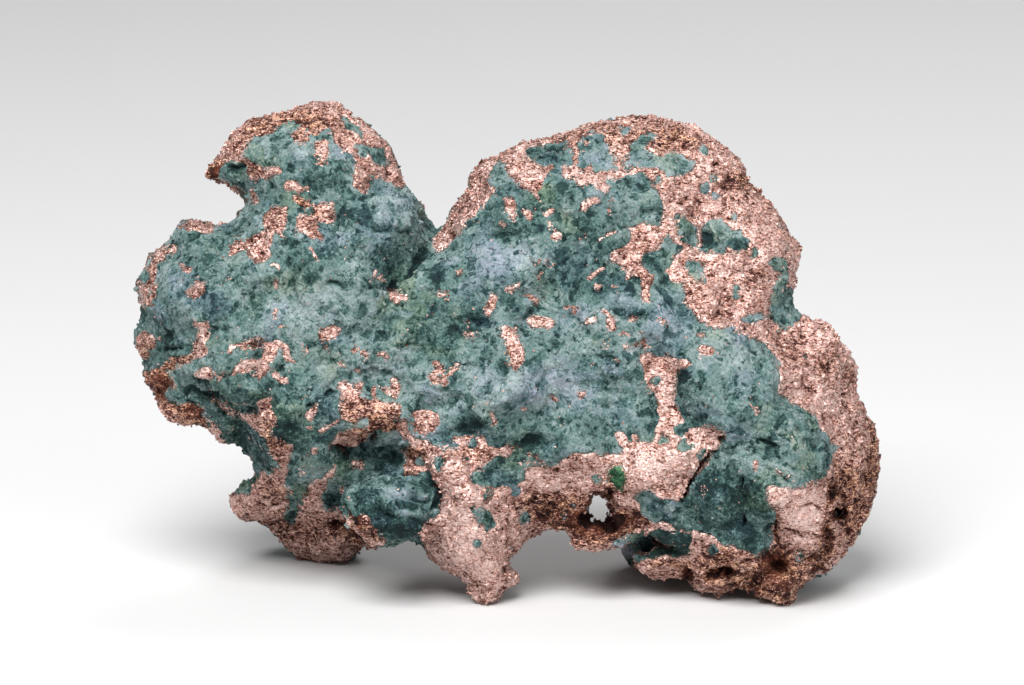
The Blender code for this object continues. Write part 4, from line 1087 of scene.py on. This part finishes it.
# rough little blocks scattered over a skin: eight jittered corners of a box, turned at random,
# each box set on a vertex that lies well inside its own material, where side is 1 for copper
# and -1 for rock
def grainsOn(skinned, name, grains, side, tones):
    lots = np.random.default_rng(grains["seed"])
    points = meshPoints(skinned.data) / mm
    normals = meshNormals(skinned.data)
    values = {tone: painted(skinned, tone) for tone in tones}
    inside = np.flatnonzero(values["depth"] * side > block["edge"])
    chosen = lots.choice(inside, grains["count"], replace=False)
    count = len(chosen)
    size = grains["size"][0] + np.ptp(grains["size"]) * lots.random((count, 1, 1)) ** 2
    corners = np.array(list(np.ndindex(2, 2, 2))) * 2.0 - 1.0
    corners = corners + lots.uniform(-block["jitter"], block["jitter"], (count, 8, 3))
    corners *= np.array([1.0, lots.uniform(block["narrow"], 1.0), grains["flat"]])
    turn, _ = np.linalg.qr(lots.normal(size=(count, 3, 3)))
    blocks = np.einsum("nij,nkj->nki", turn, corners) * size
    centres = points[chosen] + normals[chosen] * size[:, 0] * grains["lift"]
    blocks = kept((blocks + centres[:, None]).reshape(-1, 3)) * mm
    mirrored = np.linalg.det(turn)[:, None, None] < 0
    sides = np.array(block["sides"])
    faces = np.where(mirrored, sides[None, :, ::-1], sides[None])
    faces = (faces + 8 * np.arange(count)[:, None, None]).reshape(-1, 4)
    mesh = bpy.data.meshes.new(name)
    mesh.from_pydata(blocks.tolist(), [], faces.tolist())
    obj = placed(name, mesh)
    for tone, value in values.items():
        paint(obj, tone, np.repeat(value[chosen], 8))
    return obj


copperBits = grainsOn(copper, "copper_grains", copperGrains, 1, ["depth", "hollow", "brown"])
rockBits = grainsOn(rock, "rock_grains", rockGrains, -1, ["depth", "hollow", "light", "hue"])
for piece in (copper, rock, copperBits, rockBits):
    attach(piece, "root")
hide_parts("copper_nugget")
print("grains scattered:", copperGrains["count"], "and", rockGrains["count"])


# one socket of a material, so that shader sums read as sums
class Wire:
    def __init__(self, recipe, socket):
        self.recipe = recipe
        self.socket = socket

    def __add__(self, other):
        return self.recipe.sums("ADD", self, other)

    __radd__ = __add__

    def __sub__(self, other):
        return self.recipe.sums("SUBTRACT", self, other)

    def __rsub__(self, other):
        return self.recipe.sums("SUBTRACT", other, self)

    def __mul__(self, other):
        return self.recipe.sums("MULTIPLY", self, other)

    __rmul__ = __mul__

    def __neg__(self):
        return self * -1.0


# the node tree of one material; grains are in mm
class Recipe:
    def __init__(self, name):
        self.material = bpy.data.materials.new(name)
        self.material.use_nodes = True
        self.tree = self.material.node_tree
        self.tree.nodes.clear()

    # adds a node: settings first, then its sockets by name or number, and gives one output
    def add(self, kind, settings=None, sockets=None, output=0):
        node = self.tree.nodes.new(kind)
        for key, value in (settings or {}).items():
            if key == "stops":
                self.setStops(node.color_ramp, value)
            else:
                setattr(node, key, value)
        for key, value in (sockets or {}).items():
            if isinstance(value, Wire):
                self.tree.links.new(value.socket, node.inputs[key])
            else:
                node.inputs[key].default_value = value
        return Wire(self, node.outputs[output]) if node.outputs else None

    # the stops of a colour ramp: (position, colour)
    def setStops(self, ramp, stops):
        while len(ramp.elements) > 1:
            ramp.elements.remove(ramp.elements[-1])
        for number, (position, colour) in enumerate(stops):
            element = ramp.elements[0] if number == 0 else ramp.elements.new(position)
            element.position = position
            element.color = (*colour, 1.0)

    def sums(self, operation, first, second):
        return self.add("ShaderNodeMath", {"operation": operation}, {0: first, 1: second})

    def vector(self, operation, first, second=(0.0, 0.0, 0.0)):
        return self.add("ShaderNodeVectorMath", {"operation": operation}, {0: first, 1: second})

    # a random colour made into a push of up to half the length each way
    def push(self, colour, length):
        middled = self.vector("SUBTRACT", colour, (0.5, 0.5, 0.5))
        sockets = {0: middled, "Scale": length}
        return self.add("ShaderNodeVectorMath", {"operation": "SCALE"}, sockets)

    def channel(self, colour, number):
        return self.add("ShaderNodeSeparateColor", {}, {0: colour}, output=number)

    def attribute(self, name):
        return self.add("ShaderNodeAttribute", {"attribute_name": name}, output="Fac")

    # the colours that a look places on its ramp, read off by tone
    def ramp(self, tone, look):
        stops = [(position, look[name]) for name, position in look["ramp"].items()]
        return self.add("ShaderNodeValToRGB", {"stops": stops}, {0: tone})

    def mix(self, share, first, second, blend="MIX"):
        settings = {"data_type": "RGBA", "blend_type": blend, "clamp_factor": True}
        second = second if isinstance(second, Wire) else (*second, 1.0)
        return self.add("ShaderNodeMix", settings, {0: share, 6: first, 7: second}, output=2)

    # an S curve from 0 at low to 1 at high; low may be the greater of the two
    def between(self, value, low, high):
        sockets = {0: value, 1: low, 2: high, 3: 0.0, 4: 1.0}
        return self.add("ShaderNodeMapRange", {"interpolation_type": "SMOOTHSTEP"}, sockets)

    def place(self):
        return self.add("ShaderNodeTexCoord", output="Object")

    def noise(self, at, grain, detail, rough, output=0):
        sockets = {"Vector": at, "Scale": 1 / (grain * mm), "Detail": detail, "Roughness": rough}
        return self.add("ShaderNodeTexNoise", {}, sockets, output)

    def cells(self, at, grain, output="Distance", feature="F1"):
        sockets = {"Vector": at, "Scale": 1 / (grain * mm), "Randomness": 1.0}
        return self.add("ShaderNodeTexVoronoi", {"feature": feature}, sockets, output)

    def bump(self, height, rise, strength):
        sockets = {"Height": height, "Distance": rise * mm, "Strength": strength}
        return self.add("ShaderNodeBump", {}, sockets)

    # closes the material with a Principled shader
    def finish(self, sockets):
        shader = self.add("ShaderNodeBsdfPrincipled", {}, sockets)
        self.add("ShaderNodeOutputMaterial", {}, {"Surface": shader})
        return self.material


meeting = {
    "grain": 0.095,  # mm, of the specks scattered where copper and rock meet
    "slope": 2.6,  # how fast they thin out away from the meeting line, for each mm
    "level": (0.75, 0.79),  # a grain at the line shows if its lot, from 0 to 1, is over this
    "stray": (0.9965, 0.9975),  # over this it shows however far away it is
}


# 1 on small grains that thin out away from the meeting line, 0 between them: a grain shows
# where its lot, plus slope times depth, is over the level
def specks(recipe, at, depth, channel):
    lot = recipe.channel(recipe.cells(at, meeting["grain"], output="Color"), channel)
    near = recipe.between(lot + depth * meeting["slope"], *meeting["level"])
    return recipe.sums("MAXIMUM", near, recipe.between(lot, *meeting["stray"]))


# In both looks a noise is its grain, detail and roughness, and a mark or a tint ends with the
# values where it starts and is full.
copperLook = {
    "deep": (0.035, 0.014, 0.014),
    "brown": (0.21, 0.083, 0.054),
    "rose": (0.53, 0.308, 0.258),
    "pale": (0.79, 0.585, 0.535),
    "ramp": {"deep": 0.12, "brown": 0.32, "rose": 0.52, "pale": 0.85},
    "stretch": (0.6, 0.9, 1.4),  # crinkles are long across and thin upwards
    "crinkle": (0.125, 3.0, 0.8), "middling": (0.42, 2.0, 0.6), "patch": (1.2, 5.0, 0.65),
    "facet": 0.085, "seam": 0.26, "seamWide": (0.1, 0.0), "seamBroken": (0.58, 0.44),
    "usual": 0.6,  # tone, and then what each noise and mark adds to it
    "crinkleAdds": 1.7, "facetAdds": 0.3, "patchAdds": 0.7, "middlingAdds": 0.8,
    "harsher": 0.6, "harsherFrom": (0.1, 1.3),  # the tarnish and painted shade make all four stronger
    # tarnish and painted shade darken the copper, and painted shade darkens its hollows
    "seamAdds": -0.3, "tarnishShadeAdds": -0.26, "hollowShadeAdds": -0.36, "hollowFrom": (0.02, 0.1),
    "gold": (1.08, 1.0, 0.74), "goldMost": 0.8,  # a tint that multiplies the colour
    "goldFrom": (0.42, 0.6), "goldTarnishShade": (0.2, 0.9),
    # stains: colour, cover, what the patches do to their edges, and the tarnish and painted shade
    # where they come in; rust is partly real and partly laid over painted shade, and the near-black
    # one is painted shade in holes, gaps and pockets
    "rust": ((0.17, 0.05, 0.028), 0.7, 2.4, 0.9, 2.2),
    "holeShade": ((0.008, 0.004, 0.004), 0.92, 1.2, 1.9, 2.6),
    "metallic": 0.7, "specular": 0.25, "rough": 0.37,
    "tarnishShadeRough": 0.25, "tarnishShadeFrom": (0.1, 1.2), "facetRough": 0.16, "gapRough": 0.3,
    "gapMost": 0.85,  # of the rock's colour in gaps along the meeting line
    "facetSlope": 0.85, "dimple": (0.12, 3.0, 0.6), "dimpleRise": (0.07, 0.9),
}
rockLook = {
    "dark": (0.006, 0.018, 0.02),
    "deep": (0.021, 0.054, 0.052),
    "green": (0.092, 0.16, 0.15),
    "grey": (0.213, 0.268, 0.27),
    "pale": (0.39, 0.465, 0.465),
    "ramp": {"dark": 0.05, "deep": 0.27, "green": 0.47, "grey": 0.66, "pale": 0.95},
    "tints": (  # they multiply the colour, each in its range of hue
        ((1.1, 0.99, 1.2), 0.85, 0.1, 1.3),  # blue
        ((1.15, 1.02, 0.68), 0.6, -0.1, -1.3),  # olive
        ((0.32, 0.7, 0.4), 0.95, -1.0, -2.4),  # leaf green
    ),
    "drift": (0.9, 3.0, 0.6), "driftPush": 1.3,  # mm that the patterns are pushed about
    "stretch": (0.35, 0.8, 1.9),  # streaks are long across and thin upwards
    "streak": (0.5, 4.0, 0.65), "coarse": (1.5, 7.0, 0.68), "fine": (0.14, 3.0, 0.8),
    "lump": (1.1, 4.0, 0.6), "lumpLight": 0.03, "blotch": 1.3, "fleck": 0.33, "dot": 0.24,
    "hair": 1.7, "hairWide": (0.022, 0.0), "hairBroken": (0.47, 0.56),
    "usual": 0.51,  # tone, and then what each noise and mark adds to it
    "lightAdds": 0.2, "coarseAdds": 0.44, "blotchAdds": 0.14, "hairAdds": -0.3,
    "fineAdds": (0.75, 0.6), "streakAdds": (0.38, 0.49),  # and more in shaded rock
    "shadedFrom": (0.0, -1.2),
    "marks": {
        "fleck": (-0.1, 0.3, 0.1), "darkDot": (-0.2, 0.93, 0.96), "paleDot": (0.08, 0.06, 0.03),
        # hollow paints shade into hollows, rise paints a highlight on rises
        "lump": (-0.16, 0.54, 0.6), "hollow": (-0.26, 0.02, 0.16), "rise": (0.06, -0.02, -0.15),
    },
    "spots": ((-0.22, 0.95, 0.78), (-0.26, 0.45, 0.82)),  # and spacing, and share left bare
    "spotWide": (0.2, 0.3, 0.16),  # spread of sizes, and the gaps at a spot's edge and middle
    "spotLight": 0.12, "spotEdge": 0.01,
    "blotchHue": 1.1, "coarseHue": -2.0,
    "dustDrift": (1.7, 2.0, 0.6), "dustPush": 1.2, "dustTarnish": 0.3,  # copper dust on rock
    "dustRough": -0.35, "dustMetallic": 0.7, "specular": 0.2, "rough": 0.78, "fineRough": 0.4,
    "crumb": (0.09, 2.0, 0.6), "heights": (0.7, 0.4, 0.5), "bump": (0.12, 1.0),
}


# rose copper of fine crystal faces: tone = usual + noises * (1 + harsher * tarnish) + marks, where
# the tarnish carries painted shade, and painted shade darkens hollows and blackens holes and gaps
def copperColour(recipe, at, tarnishWithShade, hollow):
    look = copperLook
    crinkled = recipe.vector("MULTIPLY", at, look["stretch"])
    crinkle = recipe.noise(crinkled, *look["crinkle"])
    patch = recipe.noise(at, *look["patch"]) - 0.5
    middling = recipe.noise(crinkled, *look["middling"])
    facets = recipe.cells(at, look["facet"], output="Color")
    shade = recipe.channel(facets, 0)
    seams = recipe.cells(crinkled, look["seam"], feature="DISTANCE_TO_EDGE")
    seams = recipe.between(seams, *look["seamWide"]) * recipe.between(crinkle, *look["seamBroken"])
    grain = (crinkle - 0.5) * look["crinkleAdds"] + (shade - 0.5) * look["facetAdds"]
    grain = grain + patch * look["patchAdds"] + (middling - 0.5) * look["middlingAdds"]
    harsher = 1.0 + recipe.between(tarnishWithShade, *look["harsherFrom"]) * look["harsher"]
    tone = look["usual"] + grain * harsher + seams * look["seamAdds"]
    # darker with the tarnish and its painted shade
    tone = tone + tarnishWithShade * look["tarnishShadeAdds"]
    # painted shade in the hollows
    tone = tone + recipe.between(hollow, *look["hollowFrom"]) * look["hollowShadeAdds"]
    colour = recipe.ramp(tone, look)
    golden = recipe.between(middling, *look["goldFrom"])
    golden = golden * recipe.between(tarnishWithShade, *look["goldTarnishShade"]) * look["goldMost"]
    colour = recipe.mix(golden, colour, look["gold"], blend="MULTIPLY")
    # rust, then near-black painted shade in holes, gaps and pockets
    for stain, cover, ragged, low, high in (look["rust"], look["holeShade"]):
        share = recipe.between(tarnishWithShade + patch * ragged, low, high)
        colour = recipe.mix(share * cover, colour, stain)
    return colour, facets, shade


# 1 inside scattered dark green lumps, fewer where the rock is light; level is the share left bare
def spotShare(recipe, at, light, spacing, level):
    own = recipe.cells(at, spacing, output="Color")
    spread, edge, middle = rockLook["spotWide"]
    gap = recipe.cells(at, spacing) - recipe.channel(own, 1) * spread
    lot = recipe.channel(own, 0) - light * rockLook["spotLight"]
    inside = recipe.between(gap, edge, middle)
    return inside * recipe.between(lot, level, level + rockLook["spotEdge"])


# grainy altered rock: tone = usual + light + noises + marks, read off the ramp, and then
# tinted bluer or greener by the painted hue; light carries the rock's own tones with painted
# light and shade, the hollow mark is painted shade and the rise mark a painted highlight
def rockColour(recipe, at, light, hue, hollow):
    look = rockLook
    drift = recipe.push(recipe.noise(at, *look["drift"], output="Color"), look["driftPush"] * mm)
    warped = recipe.vector("ADD", at, drift)
    blotch = recipe.cells(warped, look["blotch"], output="Color")
    streaky = recipe.vector("MULTIPLY", warped, look["stretch"])
    streak = recipe.noise(streaky, *look["streak"]) - 0.5
    coarse = recipe.noise(at, *look["coarse"])
    fine = recipe.noise(at, *look["fine"]) - 0.5
    fleck = recipe.cells(at, look["fleck"])
    dot = recipe.channel(recipe.cells(at, look["dot"], output="Color"), 2)
    lump = recipe.noise(warped, *look["lump"]) - light * look["lumpLight"]
    hair = recipe.cells(warped, look["hair"], feature="DISTANCE_TO_EDGE")
    hair = recipe.between(hair, *look["hairWide"]) * recipe.between(coarse, *look["hairBroken"])
    shaded = recipe.between(light, *look["shadedFrom"])
    # light: the rock's own tones together with painted light and shade
    tone = look["usual"] + light * look["lightAdds"] + (coarse - 0.5) * look["coarseAdds"]
    for noise, (always, more) in ((fine, look["fineAdds"]), (streak, look["streakAdds"])):
        tone = tone + noise * (always + shaded * more)
    tone = tone + (recipe.channel(blotch, 0) - 0.5) * look["blotchAdds"] + hair * look["hairAdds"]
    marked = {
        "fleck": fleck, "darkDot": dot, "paleDot": dot,
        "lump": lump, "hollow": hollow, "rise": hollow,
    }
    # the hollow and rise marks are painted shade and painted highlight
    for name, (adds, low, high) in look["marks"].items():
        tone = tone + recipe.between(marked[name], low, high) * adds
    for adds, spacing, level in look["spots"]:
        tone = tone + spotShare(recipe, warped, light, spacing, level) * adds
    colour = recipe.ramp(tone, look)
    hue = hue + (recipe.channel(blotch, 1) - 0.5) * look["blotchHue"]
    hue = hue + (coarse - 0.5) * look["coarseHue"]
    for tint, most, low, high in look["tints"]:
        share = recipe.between(hue, low, high) * most
        colour = recipe.mix(share, colour, tint, blend="MULTIPLY")
    return colour, fine, fleck


# copper with rock in small gaps along the meeting line; every facet has a slope of its own
def copperMaterial(name):
    look = copperLook
    recipe = Recipe(name)
    at = recipe.place()
    # the brown attribute holds the tarnish and the painted shade
    tarnishWithShade = recipe.attribute("brown")
    colour, facets, shade = copperColour(recipe, at, tarnishWithShade, recipe.attribute("hollow"))
    gaps = specks(recipe, at, -recipe.attribute("depth"), 1)
    dimpled = recipe.bump(recipe.noise(at, *look["dimple"]), *look["dimpleRise"])
    normal = recipe.vector("ADD", dimpled, recipe.push(facets, look["facetSlope"]))
    rough = look["rough"] + recipe.between(tarnishWithShade, *look["tarnishShadeFrom"]) * look["tarnishShadeRough"]
    return recipe.finish({
        "Base Color": recipe.mix(gaps * look["gapMost"], colour, rockLook["deep"]),
        "Metallic": (1.0 - gaps) * look["metallic"],
        "Roughness": rough + shade * look["facetRough"] + gaps * look["gapRough"],
        "Normal": recipe.vector("NORMALIZE", normal),
        "Specular IOR Level": look["specular"],
    })


# rock with copper dust along the meeting line
def rockMaterial(name):
    look = rockLook
    recipe = Recipe(name)
    at = recipe.place()
    hollow = recipe.attribute("hollow")
    light, hue = recipe.attribute("light"), recipe.attribute("hue")
    colour, fine, fleck = rockColour(recipe, at, light, hue, hollow)
    drift = recipe.noise(at, *look["dustDrift"]) - 0.5
    copperTint = copperColour(recipe, at, drift + look["dustTarnish"], hollow)[0]
    dust = specks(recipe, at, recipe.attribute("depth") + drift * look["dustPush"], 0)
    fineRise, crumbRise, fleckRise = look["heights"]
    height = fine * fineRise + recipe.noise(at, *look["crumb"]) * crumbRise + fleck * fleckRise
    return recipe.finish({
        "Base Color": recipe.mix(dust, colour, copperTint),
        "Metallic": dust * look["dustMetallic"],
        "Roughness": look["rough"] + fine * look["fineRough"] + dust * look["dustRough"],
        "Normal": recipe.bump(height, *look["bump"]),
        "Specular IOR Level": look["specular"],
    })


# one material and one slot for a skin and its blocks
def dress(pieces, material):
    for piece in pieces:
        piece.data.materials.clear()
        piece.data.materials.append(material)


dress((copper, copperBits), copperMaterial("nativeCopper"))
dress((rock, rockBits), rockMaterial("greenRock"))
print("materials made")

studio = {
    "floorHalf": 0.6, "floor": (0.6, 0.6, 0.6), "floorRough": 0.85, "floorSpecular": 0.15,
    "sky": 0.2,
    "aim": (0, 0, 0.012),  # where the lamps point
    "lamps": {  # place, size and power
        "key": ((-0.07, -0.22, 0.3), 0.22, 2.5),
        "fill": ((0.28, -0.34, 0.22), 0.3, 0.7),
        "back": ((0.12, 0.24, 0.36), 0.25, 0.7),
    },
}


# a square lamp that points at the studio's aim
def areaLight(name, place, size, power):
    data = bpy.data.lights.new(name, "AREA")
    data.size = size
    data.energy = power
    lamp = placed(name, data)
    lamp.location = place
    away = Vector(studio["aim"]) - lamp.location
    lamp.rotation_euler = away.to_track_quat("-Z", "Y").to_euler()


# a pale floor, an even sky and the soft lamps
def studioRoom():
    half = studio["floorHalf"]
    mesh = bpy.data.meshes.new("floor")
    corners = [(-half, -half, 0), (half, -half, 0), (half, half, 0), (-half, half, 0)]
    mesh.from_pydata(corners, [], [(0, 1, 2, 3)])
    mesh.materials.append(Recipe("paleFloor").finish({
        "Base Color": (*studio["floor"], 1),
        "Roughness": studio["floorRough"],
        "Specular IOR Level": studio["floorSpecular"],
    }))
    placed("floor", mesh)
    world = bpy.data.worlds.new("softRoom")
    world.use_nodes = True
    world.node_tree.nodes["Background"].inputs[1].default_value = studio["sky"]
    world.node_tree.nodes["Background"].inputs[0].default_value = (1, 1, 1, 1)
    bpy.context.scene.world = world
    for name, lamp in studio["lamps"].items():
        areaLight(name, *lamp)


# the eye looks square at the leaning face
def camera():
    aimX, aimH = stance["aim"]
    middleX, middleY = stance["middle"]
    aim = Vector((aimX - middleX, aimH * leanSin - middleY, aimH * leanCos)) * mm
    data = bpy.data.cameras.new("camera")
    data.lens = stance["lens"]
    data.sensor_width = stance["film"]
    data.clip_start = stance["clip"] * mm
    eye = placed("camera", data)
    away = Vector((0, -leanCos, leanSin))
    eye.location = aim + away * stance["distance"] * mm
    eye.rotation_euler = (-away).to_track_quat("-Z", "Y").to_euler()
    bpy.context.scene.camera = eye


studioRoom()
camera()
bpy.context.scene.view_settings.view_transform = "Standard"
print("studio set")
